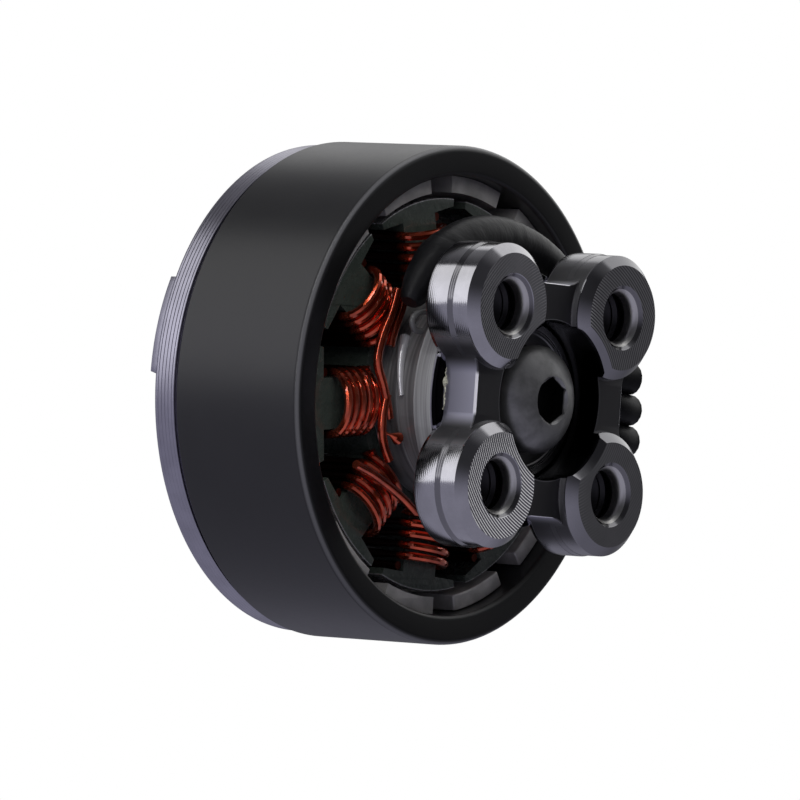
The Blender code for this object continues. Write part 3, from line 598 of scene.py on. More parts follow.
def turned(name, profile, steps, ring=True):
    """Turn a profile of (radius, z) points round Z. A solid's profile ends on the axis."""
    shape = bmesh.new()
    verts = [shape.verts.new((radius, 0.0, z)) for radius, z in profile]
    pairs = list(zip(verts, verts[1:]))
    if ring:
        pairs.append((verts[-1], verts[0]))
    edges = [shape.edges.new(pair) for pair in pairs]
    bmesh.ops.spin(
        shape, geom=verts + edges, axis=(0, 0, 1), cent=(0, 0, 0), angle=FULL_TURN, steps=steps
    )
    return mesh_item(name, shape)


def plate(name, loops, bottom, top):
    """Fill flat loops of (x, y) points and give them a thickness."""
    curve = bpy.data.curves.new(name, "CURVE")
    curve.dimensions = "2D"
    curve.fill_mode = "BOTH"
    curve.extrude = (top - bottom) / 2
    for loop in loops:
        spline = curve.splines.new("POLY")
        spline.points.add(len(loop) - 1)
        for point, (x, y) in zip(spline.points, loop):
            point.co = (x, y, 0.0, 1.0)
        spline.use_cyclic_u = True
    item = link(name, curve)
    item.location.z = (bottom + top) / 2
    return settled(item)


def tube(name, points, radius, sides_level, widths=None):
    """Run a round wire or sleeve through the points. Widths are shares of the radius."""
    curve = bpy.data.curves.new(name, "CURVE")
    curve.dimensions = "3D"
    curve.bevel_depth = radius
    curve.bevel_resolution = sides_level
    curve.use_fill_caps = True
    spline = curve.splines.new("POLY")
    spline.points.add(len(points) - 1)
    for i, (point, place) in enumerate(zip(spline.points, points)):
        point.co = (*place, 1.0)
        point.radius = widths[i] if widths else 1.0
    return link(name, curve)


def rounded(item, width, segments, angle=60.0):
    """Round the edges that are sharper than the angle."""
    bevel = item.modifiers.new("edge", "BEVEL")
    bevel.width = width
    bevel.segments = segments
    bevel.limit_method = "ANGLE"
    bevel.angle_limit = math.radians(angle)
    return settled(item)


def combined(item, tool, operation):
    """Join a tool to an object, or cut it away, and drop the tool."""
    boolean = item.modifiers.new("cut", "BOOLEAN")
    boolean.operation = operation
    boolean.solver = "EXACT"
    boolean.use_self = True
    boolean.object = tool
    result = settled(item)
    bpy.data.objects.remove(tool, do_unlink=True)
    return result


def gathered(name, items):
    """Join objects that don't touch into one mesh."""
    shape = bmesh.new()
    bpy.context.view_layer.update()
    for item in items:
        mesh = item.data.copy()
        mesh.transform(item.matrix_world)
        shape.from_mesh(mesh)
        bpy.data.meshes.remove(mesh)
    for item in items:
        bpy.data.objects.remove(item, do_unlink=True)
    return mesh_item(name, shape)


def dress(item, material, body, nodes):
    """Give a piece its material, its body and the nodes that it stands for."""
    item.data.materials.clear()
    item.data.materials.append(material)
    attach(item, body)
    if nodes:
        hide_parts(*nodes)
    return item


def even_shading(item):
    """Keep flat faces flat beside small fillets."""
    weighted = item.modifiers.new("shading", "WEIGHTED_NORMAL")
    weighted.keep_sharp = True
    return item


def fillet(centre, radius, start, end, count=5):
    """Rounded corner of a profile, as (radius, z) points."""
    return arc(centre, radius, math.radians(start), math.radians(end), count)


def outside_edges(radius, low, high, edge, count=4):
    """Rounded outer edges of a turned piece, from its upper end to its lower end."""
    upper = fillet((radius - edge, high - edge), edge, 90.0, 0.0, count)
    return upper + fillet((radius - edge, low + edge), edge, 0.0, -90.0, count)


def smooth_route(stops, count):
    """Points along a smooth curve through the stops."""
    vectors = [Vector(stop) for stop in stops]
    knots = [vectors[0] * 2 - vectors[1]] + vectors + [vectors[-1] * 2 - vectors[-2]]
    route = []
    for i in range(len(vectors) - 1):
        p0, p1, p2, p3 = knots[i : i + 4]
        for step in range(count):
            t = step / count
            bend = p0 * 2 - p1 * 5 + p2 * 4 - p3
            turn = p1 * 3 - p0 - p2 * 3 + p3
            route.append(((p1 * 2) + (p2 - p0) * t + bend * t**2 + turn * t**3) / 2)
    route.append(vectors[-1])
    return route


def thread_profile(crest, root, low, high, pitch):
    """Zigzag of a thread's section between two heights, from the high end down."""
    count = max(int((high - low) / pitch), 1)
    points = []
    for i in range(count):
        top = high - pitch * i
        points += [(crest, top), (root, top - pitch * 0.45), (root, top - pitch * 0.55)]
    points.append((crest, high - pitch * count))
    return points


class BaseSizes(bpy.types.PropertyGroup):
    """Sizes of the machined base."""

    boss_spacing: FloatProperty(
        name="Boss spacing",
        description="Distance between the centres of neighbouring bosses",
        default=BOSS_SPACING,
        unit="LENGTH",
    )
    boss_radius: FloatProperty(
        name="Boss radius",
        description="Radius of a boss at its face",
        default=3.15 * MM,
        unit="LENGTH",
    )
    boss_flare: FloatProperty(
        name="Boss flare",
        description="How much wider a boss is at its back",
        default=0.06 * MM,
        unit="LENGTH",
    )
    boss_height: FloatProperty(
        name="Boss height",
        description="Height of a boss from its face to the flange",
        default=3.1 * MM,
        unit="LENGTH",
    )
    boss_chamfer: FloatProperty(
        name="Boss chamfer",
        description="Width of the chamfer round a boss's face",
        default=0.48 * MM,
        unit="LENGTH",
    )
    boss_step: FloatProperty(
        name="Boss step",
        description="Height of the step round a boss's side",
        default=1.55 * MM,
        unit="LENGTH",
    )
    thread_crest: FloatProperty(
        name="Thread crest",
        description="Radius of the crests in a tapped hole",
        default=1.25 * MM,
        unit="LENGTH",
    )
    thread_root: FloatProperty(
        name="Thread root",
        description="Radius of the roots in a tapped hole",
        default=1.42 * MM,
        unit="LENGTH",
    )
    thread_pitch: FloatProperty(
        name="Thread pitch",
        description="Pitch of the thread in a boss",
        default=0.42 * MM,
        unit="LENGTH",
    )
    countersink: FloatProperty(
        name="Countersink",
        description="Radius of the countersink at a boss's face",
        default=1.65 * MM,
        unit="LENGTH",
    )
    flange_radius: FloatProperty(
        name="Flange radius",
        description="Radius of the flange behind the bosses",
        default=6.6 * MM,
        unit="LENGTH",
    )
    recess_radius: FloatProperty(
        name="Recess radius",
        description="Radius of the round recess round the screw",
        default=4.03 * MM,
        unit="LENGTH",
    )


class WindingSizes(bpy.types.PropertyGroup):
    """Sizes of the stator's windings."""

    wire: FloatProperty(
        name="Wire",
        description="Diameter of the enamelled wire",
        default=0.44 * MM,
        unit="LENGTH",
    )
    turns: IntProperty(
        name="Turns",
        description="Turns of wire on each tooth",
        default=5,
    )
    arch: FloatProperty(
        name="Arch",
        description="How far the end turns stand off the stack at their crown",
        default=0.78 * MM,
        unit="LENGTH",
    )
    unevenness: FloatProperty(
        name="Unevenness",
        description="How far a turn may lie from its even place",
        default=0.05 * MM,
        unit="LENGTH",
    )


class BellSizes(bpy.types.PropertyGroup):
    """Sizes of the bell's cap, ring and magnets."""

    mouth_round: FloatProperty(
        name="Mouth rounding",
        description="Radius of the rounded edges at the bell's mouth",
        default=0.25 * MM,
        unit="LENGTH",
    )
    ring_wall: FloatProperty(
        name="Ring wall",
        description="Wall of the black ring",
        default=1.52 * MM,
        unit="LENGTH",
    )
    magnet_thickness: FloatProperty(
        name="Magnet thickness",
        description="Radial thickness of a magnet",
        default=0.85 * MM,
        unit="LENGTH",
    )
    magnet_arc: FloatProperty(
        name="Magnet arc",
        description="Angle that a magnet spans",
        default=math.radians(21.0),
        subtype="ANGLE",
    )
    rim_groove_pitch: FloatProperty(
        name="Rim groove pitch",
        description="Distance between the fine grooves round the cap's rim",
        default=0.22 * MM,
        unit="LENGTH",
    )
    arm_width: FloatProperty(
        name="Arm width",
        description="Width of the cap's raised arms",
        default=5.0 * MM,
        unit="LENGTH",
    )


class MotorFinishes(bpy.types.PropertyGroup):
    """Colours and roughness of the motor's materials."""

    base_metal: FloatVectorProperty(
        name="Base metal",
        description="Grey anodised aluminium of the base",
        default=(0.48, 0.475, 0.50),
        subtype="COLOR",
    )
    base_roughness: FloatProperty(
        name="Base roughness",
        description="Roughness of the base's aluminium",
        default=0.14,
        subtype="FACTOR",
    )
    groove_pitch: FloatProperty(
        name="Groove pitch",
        description="Distance between turned grooves on the boss faces, in millimetres",
        default=0.15,
    )
    cap_metal: FloatVectorProperty(
        name="Cap metal",
        description="Grey anodised aluminium of the cap",
        default=(0.40, 0.39, 0.46),
        subtype="COLOR",
    )
    ring_black: FloatVectorProperty(
        name="Ring black",
        description="Black coat of the ring",
        default=(0.012, 0.012, 0.013),
        subtype="COLOR",
    )
    magnet: FloatVectorProperty(
        name="Magnet",
        description="Plating of the magnets",
        default=(0.46, 0.45, 0.44),
        subtype="COLOR",
    )
    coating: FloatVectorProperty(
        name="Stator coating",
        description="Green-black coating of the stator",
        default=(0.042, 0.052, 0.044),
        subtype="COLOR",
    )
    bare_steel: FloatVectorProperty(
        name="Bare steel",
        description="Ground steel of shafts, bearings and washers",
        default=(0.58, 0.58, 0.59),
        subtype="COLOR",
    )
    enamel: FloatVectorProperty(
        name="Enamel",
        description="Copper-red enamel of the wire",
        default=(0.70, 0.098, 0.035),
        subtype="COLOR",
    )
    sleeve: FloatVectorProperty(
        name="Sleeve",
        description="Black skin of the sleeve and leads",
        default=(0.015, 0.015, 0.017),
        subtype="COLOR",
    )
    screw: FloatVectorProperty(
        name="Screw",
        description="Blackened steel of the screw",
        default=(0.25, 0.25, 0.252),
        subtype="COLOR",
    )
    strands: FloatVectorProperty(
        name="Strands",
        description="Tinned copper strands at the trimmed lead ends",
        default=(0.62, 0.50, 0.42),
        subtype="COLOR",
    )
    glue: FloatVectorProperty(
        name="Glue",
        description="Dried adhesive by the flange",
        default=(0.75, 0.74, 0.58),
        subtype="COLOR",
    )


class StageSettings(bpy.types.PropertyGroup):
    """Camera, floor and light."""

    camera_distance: FloatProperty(
        name="Camera distance",
        description="Distance from the camera to the motor",
        default=0.5,
        unit="LENGTH",
    )
    lens: FloatProperty(
        name="Lens",
        description="Focal length of the camera, in millimetres",
        default=446.7,
    )
    floor_colour: FloatVectorProperty(
        name="Floor",
        description="Colour of the floor",
        default=(0.82, 0.82, 0.83),
        subtype="COLOR",
    )
    key_level: FloatProperty(
        name="Key level",
        description="Brightness of the large softbox",
        default=1.15,
    )
    fill_level: FloatProperty(
        name="Fill level",
        description="Brightness of the softbox in front, which no surface mirrors",
        default=2.6,
    )
    side_level: FloatProperty(
        name="Side level",
        description="Brightness of the strip softbox at the side",
        default=6.0,
    )


def web_outline(sizes, face_distance, web_fillet):
    """Outline round the four bosses and the waisted webs between them."""
    half = sizes.boss_spacing / 2
    boss_radius = sizes.boss_radius - 0.01 * MM
    reach = boss_radius + web_fillet
    rise = face_distance + web_fillet - half
    slant = math.acos(min(rise / reach, 1.0))
    centre = (half - reach * math.sin(slant), face_distance + web_fillet)
    upward = HALF_TURN / 2
    side = arc(centre, web_fillet, -upward, -upward + slant, 12)[:-1]
    around = arc((half, half), boss_radius, upward + slant, -slant, 16)
    mirrored = [(y, x) for x, y in reversed(side)]
    corner = side + around + mirrored
    outline = []
    for quarter in range(4):
        outline += [turn_point(point, -upward * quarter) for point in corner]
    return outline


def boss_profile(sizes):
    """Section of a boss, with its chamfer, step, flare and rounded back edge."""
    edge = 0.12 * MM
    band = 0.16 * MM
    ledge = 0.008 * MM
    top = sizes.boss_height
    front = sizes.boss_radius
    back = front + sizes.boss_flare
    rim = fillet((back - edge, top - edge), edge, 90.0, 0.0)
    return [(0.0, top)] + rim + [
        (back, sizes.boss_step + band),
        (back - ledge, sizes.boss_step + band),
        (front + ledge, sizes.boss_step - band),
        (front, sizes.boss_step - band),
        (front, sizes.boss_chamfer),
        (front - sizes.boss_chamfer, 0.0),
        (0.0, 0.0),
    ]


def tapped_hole_profile(sizes, depth):
    """Section of a tapped blind hole with its countersink, opening at z = 0."""
    below = -1.0 * MM
    wall = 0.9 * MM
    lip = 0.5 * MM
    depth_of_cone = sizes.countersink - sizes.thread_crest
    lip_centre = (sizes.thread_crest + lip, depth_of_cone + lip * math.tan(HALF_TURN / 8))
    run_out = depth - sizes.thread_crest * 0.5
    thread = thread_profile(sizes.thread_crest, sizes.thread_root, wall, run_out, sizes.thread_pitch)
    return [(0.0, depth)] + thread + [
        (sizes.thread_crest, wall),
        *arc(lip_centre, lip, HALF_TURN, HALF_TURN * 1.25, 7),
        (sizes.countersink, 0.0),
        (sizes.countersink, below),
        (0.0, below),
    ]


def base_core_profile(sizes):
    """Section of the flange, neck and bearing tube."""
    edge = 0.1 * MM
    seat = sizes.recess_radius
    low = sizes.boss_height - 0.15 * MM
    flange = sizes.flange_radius
    flange_top = sizes.boss_height + 1.3 * MM
    neck = NECK_RADIUS
    neck_top = CORE_LOW.z - PRESS_GAP
    bore = 3.4 * MM
    lower_seat = 5.43 * MM
    upper_seat = BASE_TOP - 3.03 * MM
    groove = 0.06 * MM
    groove_side = 0.05 * MM
    groove_low = flange_top + 1.35 * MM
    groove_high = flange_top + 2.05 * MM
    profile = outside_edges(flange, low, flange_top, edge)
    profile += [(seat, low), (seat, lower_seat)]
    profile += [(bore, lower_seat), (bore, upper_seat), (seat, upper_seat)]
    profile += fillet((seat + edge, BASE_TOP - edge), edge, 180.0, 90.0, 4)
    profile += fillet((TUBE_RADIUS - edge, BASE_TOP - edge), edge, 90.0, 0.0, 4)
    profile += [
        (TUBE_RADIUS, neck_top),
        (neck, neck_top),
        (neck, groove_high),
        (neck - groove, groove_high - groove_side),
        (neck - groove, groove_low + groove_side),
        (neck, groove_low),
        (neck, flange_top),
    ]
    return profile


def recess_profile(sizes):
    """Section of the recess between the bosses, chamfered at its mouth."""
    below = -1.0 * MM
    chamfer = 0.3 * MM
    radius = sizes.recess_radius
    top = sizes.boss_height + PRESS_GAP
    mouth = radius + chamfer
    return [(0.0, top), (radius, top), (radius, chamfer), (mouth, 0.0), (mouth, below), (0.0, below)]


def machined_base(sizes):
    """Base with its webs, bosses, tapped holes, recess, flange and tube."""
    half = sizes.boss_spacing / 2
    setback = 0.84 * MM
    web_top = sizes.boss_height - 0.075 * MM
    web_distance = 5.9 * MM
    web_fillet = 1.3 * MM
    web_edge = 0.1 * MM
    hole_depth = 2.7 * MM
    outline = web_outline(sizes, web_distance, web_fillet)
    base = rounded(plate("machined_base", [outline], setback, web_top), web_edge, 3)
    bosses = []
    holes = []
    for x, y in ((half, half), (-half, half), (-half, -half), (half, -half)):
        boss = turned("boss", boss_profile(sizes), 96, ring=False)
        hole = turned("hole", tapped_hole_profile(sizes, hole_depth), 48, ring=False)
        for item in (boss, hole):
            item.location = (x, y, 0.0)
        bosses.append(boss)
        holes.append(hole)
    base = combined(base, gathered("bosses", bosses), "UNION")
    base = combined(base, turned("recess", recess_profile(sizes), 96, ring=False), "DIFFERENCE")
    base = combined(base, turned("core", base_core_profile(sizes), 96), "UNION")
    return combined(base, gathered("holes", holes), "DIFFERENCE")


class MOTOR_OT_base(bpy.types.Operator):
    """Dress the machined base"""

    bl_idname = "motor.base"
    bl_label = "Machined base"

    def execute(self, context):
        finishes = context.scene.motor_finishes
        groove_depth = 0.011 * MM
        metal = base_aluminium(
            finishes.base_metal, finishes.base_roughness, finishes.groove_pitch, groove_depth
        )
        base = machined_base(context.scene.motor_base)
        even_shading(base)
        dress(base, metal, "stator", ["base"])
        return {"FINISHED"}


def tooth_outline(angle):
    """Outline of one stator tooth and of the yoke up to the next one."""
    half_width = TOOTH_HALF_WIDTH
    shoe_half = math.radians(17.2)
    shoe_tip = STATOR_RADIUS - 0.38 * MM
    neck_base = math.sqrt(YOKE_RADIUS**2 - half_width**2)
    tip = (shoe_tip * math.cos(shoe_half), shoe_tip * math.sin(shoe_half))
    face = arc((0.0, 0.0), STATOR_RADIUS, -shoe_half, shoe_half, 15)
    slot_start = math.atan2(half_width, neck_base)
    slot_end = FULL_TURN / TOOTH_COUNT - slot_start
    slot_floor = arc((0.0, 0.0), YOKE_RADIUS, slot_start, slot_end, 5)[1:-1]
    points = [(neck_base, -half_width), (SHOE_ROOT, -half_width), (tip[0], -tip[1])] + face
    points += [tip, (SHOE_ROOT, half_width), (neck_base, half_width)] + slot_floor
    return [turn_point(point, angle) for point in points]


class MOTOR_OT_stator_core(bpy.types.Operator):
    """Dress the coated lamination stack"""

    bl_idname = "motor.stator_core"
    bl_label = "Stator core"

    def execute(self, context):
        finishes = context.scene.motor_finishes
        outline = []
        for angle in TOOTH_ANGLES:
            outline += tooth_outline(angle)
        bore = arc((0.0, 0.0), TUBE_RADIUS + PRESS_GAP, 0.0, FULL_TURN, 97)[:-1]
        core = plate("coated_stator_core", [outline, bore], CORE_LOW.z, CORE_HIGH.z)
        coat_edge = 0.12 * MM
        core = rounded(core, coat_edge, 3, 75.0)
        even_shading(core)
        coating = stator_coating(finishes.coating, finishes.bare_steel)
        dress(core, coating, "stator", ["stator_core"])
        return {"FINISHED"}


def winding_path(sizes, seed):
    """Route of the wire round a tooth that points along +X, from the shoe inward."""
    chance = random.Random(seed)
    wire_radius = sizes.wire / 2
    gap = 0.05 * MM
    floor_gap = 0.08 * MM
    tail_length = 0.5 * MM
    side = TOOTH_HALF_WIDTH + gap + wire_radius
    dip = 0.15 * MM
    corner = (CORE_HIGH.z - CORE_LOW.z) / 2 - dip
    rise = sizes.arch + wire_radius + dip
    middle = (CORE_LOW.z + CORE_HIGH.z) / 2
    start = SHOE_ROOT - gap - wire_radius
    finish = YOKE_RADIUS + floor_gap + wire_radius
    pitch = (start - finish) / (sizes.turns - 0.45)
    arch_steps = 12
    side_steps = 3
    points = []
    for turn in range(sizes.turns):
        lifts = [chance.uniform(0.0, 1.0) * sizes.unevenness for _ in range(2)]
        leans = [chance.uniform(-1.0, 1.0) * sizes.unevenness for _ in range(2)]
        loop = []
        for half in range(2):
            way = 1.0 if half == 0 else -1.0
            for i in range(side_steps):
                loop.append((side * way, (2.0 * i / side_steps - 1.0) * corner * way, 0.0))
            for i in range(arch_steps + 1):
                angle = HALF_TURN * i / arch_steps
                swell = math.sin(angle)
                bulge = swell**0.9 * (rise + lifts[half])
                loop.append((side * math.cos(angle) * way, (corner + bulge) * way, swell * leans[half]))
        for i, (across, along, lean) in enumerate(loop):
            radius = start - pitch * (turn + i / len(loop)) + lean
            points.append((radius, across, middle + along))
    tail = points[-1]
    points.append((tail[0] - wire_radius, tail[1], tail[2] - tail_length))
    return points


class MOTOR_OT_windings(bpy.types.Operator):
    """Wind the nine coils in fine wire"""

    bl_idname = "motor.windings"
    bl_label = "Windings"

    def execute(self, context):
        sizes = context.scene.motor_windings
        enamel = wire_enamel(context.scene.motor_finishes.enamel)
        for i, angle in enumerate(TOOTH_ANGLES):
            wire = tube(f"winding_{i + 1}", winding_path(sizes, i), sizes.wire / 2, 3)
            wire.rotation_euler.z = angle
            coil = settled(wire)
            dress(coil, enamel, "stator", [f"coil_{i + 1}"])
        return {"FINISHED"}


def jumper_route(stops):
    """Route of a jumper wire, from (share of the winding depth, direction in degrees) stops."""
    depth = SHOE_ROOT - YOKE_RADIUS
    places = []
    for share, direction in stops:
        x, y = turn_point((YOKE_RADIUS + depth * share, 0.0), math.radians(direction))
        places.append((x, y, JUMPER_HEIGHT))
    return smooth_route(places, 8)


class MOTOR_OT_jumpers(bpy.types.Operator):
    """Lay the bare wires that cross from coil to coil"""

    bl_idname = "motor.jumpers"
    bl_label = "Jumper wires"

    def execute(self, context):
        routes = {
            "jumper_wire_1": [
                (0.45, 222.3), (0.31, 213.1), (0.30, 203.6), (0.29, 195.7),
                (0.24, 189.6), (0.06, 182.8), (-0.07, 174.4), (-0.12, 165.0),
            ],
            "jumper_wire_2": [(0.89, 153.7), (0.53, 145.4), (0.23, 128.6), (0.21, 116.1)],
            "link_wire_1": [(0.33, 226.0), (0.15, 217.6), (0.09, 207.7), (0.05, 200.0)],
            "link_wire_2": [(-0.08, 177.0), (0.02, 168.7), (0.11, 159.9), (0.12, 153.4), (0.10, 146.0)],
        }
        wire_radius = 0.235 * MM
        enamel = bpy.data.materials["wire_enamel"]
        for node, stops in routes.items():
            wire = settled(tube(f"{node}_fine", jumper_route(stops), wire_radius, 4))
            dress(wire, enamel, "stator", [node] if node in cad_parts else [])
        joint = [
            (-6.0, 2.2, 6.5),
            (-5.7, 2.3, 6.4),
            (-5.45, 2.4, 6.3),
            (-5.2, 2.45, 6.3),
            (-5.0, 2.5, 6.4),
        ]
        places = [Vector(place) * MM for place in joint]
        joint_radius = 0.24 * MM
        swell = [0.25, 0.3, 1.0, 1.4, 1.0]
        blob = settled(tube("soldered_joint", places, joint_radius, 5, swell))
        dress(blob, enamel, "stator", [])
        return {"FINISHED"}


class MOTOR_OT_sleeve(bpy.types.Operator):
    """Wrap the black sleeve round the base"""

    bl_idname = "motor.sleeve"
    bl_label = "Lead sleeve"

    def execute(self, context):
        finishes = context.scene.motor_finishes
        chance = random.Random(11)
        radius = 1.3 * MM
        count = 61
        flat = arc((0.0, 0.0), SLEEVE_PATH, SLEEVE_START, SLEEVE_END, count)
        route = [(x, y, SLEEVE_HEIGHT) for x, y in flat]
        widths = [1.0 - 0.02 * chance.random() for _ in range(count)]
        taper = 12
        end_width = 0.94
        for i in range(taper):
            widths[i] *= 0.35 + 0.65 * (i / taper) ** 0.6
        widths[-1] = end_width
        waist = 0.68
        waist_length = 0.2
        for i in range(count):
            offset = (i / (count - 1) - waist) / waist_length
            widths[i] *= 1.0 - 0.13 * math.exp(-(offset**2))
        sleeve = settled(tube("shrunk_sleeve", route, radius, 10, widths))
        skin = shrink_sleeve("sleeve_skin", shade(finishes.sleeve, 0.35)[:3], 0.4)
        dress(sleeve, skin, "stator", ["lead_sleeve"])
        return {"FINISHED"}


def lead_routes():
    """Routes of the three phase leads, from under the windings to their trimmed ends."""
    diameter = 1.5 * MM
    pitch = 1.6 * MM
    exit_height = 3.7 * MM
    trimmed = 0.72 * MM
    inset = 0.15 * MM
    end = LEAD_END - trimmed
    run = end - SLEEVE_PATH
    start = turn_point((SLEEVE_PATH, 0.0), SLEEVE_END + inset / SLEEVE_PATH)
    ahead = turn_point((SLEEVE_PATH, 0.0), SLEEVE_END + math.radians(10.0))
    sleeved = [
        (*start, SLEEVE_HEIGHT),
        (*ahead, SLEEVE_HEIGHT - diameter * 0.1),
        (SLEEVE_PATH + run * 0.25, -pitch * 1.1, exit_height + diameter * 0.2),
        (end, -pitch, exit_height),
    ]
    routes = [sleeved]
    top = JUMPER_HEIGHT - diameter * 0.2
    for y in (0.0, pitch):
        plain = [
            (SLEEVE_PATH, y, top),
            (SLEEVE_PATH + run * 0.06, y, (top + exit_height) / 2),
            (SLEEVE_PATH + run * 0.4, y, exit_height),
            (end, y, exit_height),
        ]
        routes.append(plain)
    return routes


def strand_bundle(name, end):
    """Round bundle of wire strands at a trimmed lead's end."""
    strand_radius = 0.095 * MM
    proud = 0.04 * MM
    shape = bmesh.new()
    rings = ((0.0, 1), (0.2 * MM, 6), (0.4 * MM, 12))
    for ring_radius, count in rings:
        for i in range(count):
            y, z = turn_point((ring_radius, 0.0), FULL_TURN * i / count)
            place = Matrix.Translation(end + Vector((0.0, y, z)))
            turn = Matrix.Rotation(HALF_TURN / 2, 4, "Y")
            bmesh.ops.create_cone(
                shape,
                cap_ends=True,
                segments=10,
                radius1=strand_radius,
                radius2=strand_radius * 0.9,
                depth=proud * 2,
                matrix=place @ turn,
            )
    return mesh_item(name, shape)


class MOTOR_OT_leads(bpy.types.Operator):
    """Lay the three phase leads and their trimmed strands"""

    bl_idname = "motor.leads"
    bl_label = "Phase leads"

    def execute(self, context):
        finishes = context.scene.motor_finishes
        jacket = shrink_sleeve("lead_skin", shade(finishes.sleeve, 0.3)[:3], 0.5)
        tinned = machined_steel("tinned_strands", finishes.strands, 0.35, 0.001 * MM)
        jacket_radius = 0.805 * MM
        for i, stops in enumerate(lead_routes()):
            route = smooth_route(stops, 10)
            lead = settled(tube(f"silicone_lead_{i + 1}", route, jacket_radius, 6))
            dress(lead, jacket, "stator", [f"phase_lead_{i + 1}"])
            strands = strand_bundle(f"lead_strands_{i + 1}", route[-1])
            dress(strands, tinned, "stator", [])
        return {"FINISHED"}


class MOTOR_OT_ring(bpy.types.Operator):
    """Dress the black ring of the bell"""

    bl_idname = "motor.ring"
    bl_label = "Bell ring"

    def execute(self, context):
        sizes = context.scene.motor_bell
        finishes = context.scene.motor_finishes
        edge = sizes.mouth_round
        back_edge = 0.08 * MM
        inner = BELL_RADIUS - sizes.ring_wall
        low = RING_LOW.z
        high = RING_HIGH.z
        profile = fillet((BELL_RADIUS - back_edge, high - back_edge), back_edge, 90.0, 0.0, 4)
        outer_edge = edge * 1.4
        profile += fillet((BELL_RADIUS - outer_edge, low + outer_edge), outer_edge, 0.0, -90.0, 10)
        profile += fillet((inner + edge, low + edge), edge, -90.0, -180.0, 8)
        profile.append((inner, high))
        ring = turned("black_bell_ring", profile, 192)
        even_shading(ring)
        coat = ring_coating(finishes.ring_black, 0.34)
        dress(ring, coat, "rotor", ["flux_ring"])
        return {"FINISHED"}


class MOTOR_OT_magnets(bpy.types.Operator):
    """Set the twelve arc magnets in the ring"""

    bl_idname = "motor.magnets"
    bl_label = "Magnets"

    def execute(self, context):
        sizes = context.scene.motor_bell
        finishes = context.scene.motor_finishes
        count = 12
        first = math.radians(-81.8)
        half = sizes.magnet_arc / 2
        outer_radius = BELL_RADIUS - sizes.ring_wall - PRESS_GAP
        inner_radius = outer_radius - sizes.magnet_thickness
        outer = arc((0.0, 0.0), outer_radius, -half, half, 12)
        inner = arc((0.0, 0.0), inner_radius, half, -half, 12)
        edge = 0.1 * MM
        plating = magnet_plating(finishes.magnet, 0.33)
        for i in range(count):
            node = f"magnet_{i + 1:02d}"
            angle = first - FULL_TURN * i / count
            outline = [turn_point(point, angle) for point in outer + inner]
            magnet = plate(f"plated_{node}", [outline], MAGNET_LOW.z, MAGNET_HIGH.z)
            magnet = even_shading(rounded(magnet, edge, 3))
            dress(magnet, plating, "rotor", [node])
        return {"FINISHED"}


# Sizes that the cap's own functions share
CAP_RADIUS = CAP_HIGH.x
CAP_DISC_TOP = CAP_HIGH.z - 0.75 * MM
CAP_DISC_BOTTOM = RING_HIGH.z + PRESS_GAP
HUB_RADIUS = 4.7 * MM
ARM_COUNT = 3
FIRST_ARM = math.radians(192.5)


def cap_profile(sizes):
    """Section of the cap's disc, with fine grooves round its rim."""
    spigot = BELL_RADIUS - sizes.ring_wall - PRESS_GAP
    spigot_wall = 0.8 * MM
    spigot_edge = 0.05 * MM
    groove_depth = 0.3 * MM
    groove = CAP_RADIUS - groove_depth
    rim_bottom = CAP_DISC_BOTTOM + groove_depth
    edge = 0.15 * MM
    line = 0.025 * MM
    profile = [(0.0, CAP_DISC_TOP)]
    profile += fillet((CAP_RADIUS - edge, CAP_DISC_TOP - edge), edge, 90.0, 0.0, 5)
    height = CAP_DISC_TOP - edge - 0.12 * MM
    while height > rim_bottom + 0.1 * MM:
        profile += [(CAP_RADIUS, height + line), (CAP_RADIUS - line, height)]
        profile.append((CAP_RADIUS, height - line))
        height -= sizes.rim_groove_pitch
    profile += [
        (CAP_RADIUS, rim_bottom + line),
        (CAP_RADIUS - line, rim_bottom),
        (groove, rim_bottom),
        (groove, CAP_DISC_BOTTOM),
        (spigot, CAP_DISC_BOTTOM),
        (spigot, CAP_LOW.z + spigot_edge),
        (spigot - spigot_edge, CAP_LOW.z),
        (spigot - spigot_wall, CAP_LOW.z),
        (spigot - spigot_wall, CAP_DISC_BOTTOM),
        (0.0, CAP_DISC_BOTTOM),
    ]
    return profile


def spider_outline(sizes):
    """Outline of the raised hub and its arms."""
    tip_radius = CAP_RADIUS - 0.55 * MM
    half = sizes.arm_width / 2
    root = math.asin(half / HUB_RADIUS)
    tip = math.asin(half / tip_radius)
    gap = FULL_TURN / ARM_COUNT
    points = []
    for i in range(ARM_COUNT):
        end = arc((0.0, 0.0), tip_radius, -tip, tip, 14)
        rest = arc((0.0, 0.0), HUB_RADIUS, root, gap - root, 12)
        points += [turn_point(point, FIRST_ARM + gap * i) for point in end + rest]
    return points


def window_outline(sizes, angle):
    """Outline of one window between two arms."""
    margin = 0.35 * MM
    half = sizes.arm_width / 2 + margin
    inner_radius = HUB_RADIUS + margin
    outer_radius = 10.0 * MM
    gap = FULL_TURN / ARM_COUNT
    inner = math.asin(half / inner_radius)
    outer = math.asin(half / outer_radius)
    near = arc((0.0, 0.0), inner_radius, gap - inner, inner, 10)
    far = arc((0.0, 0.0), outer_radius, outer, gap - outer, 40)
    return [turn_point(point, angle) for point in near + far]


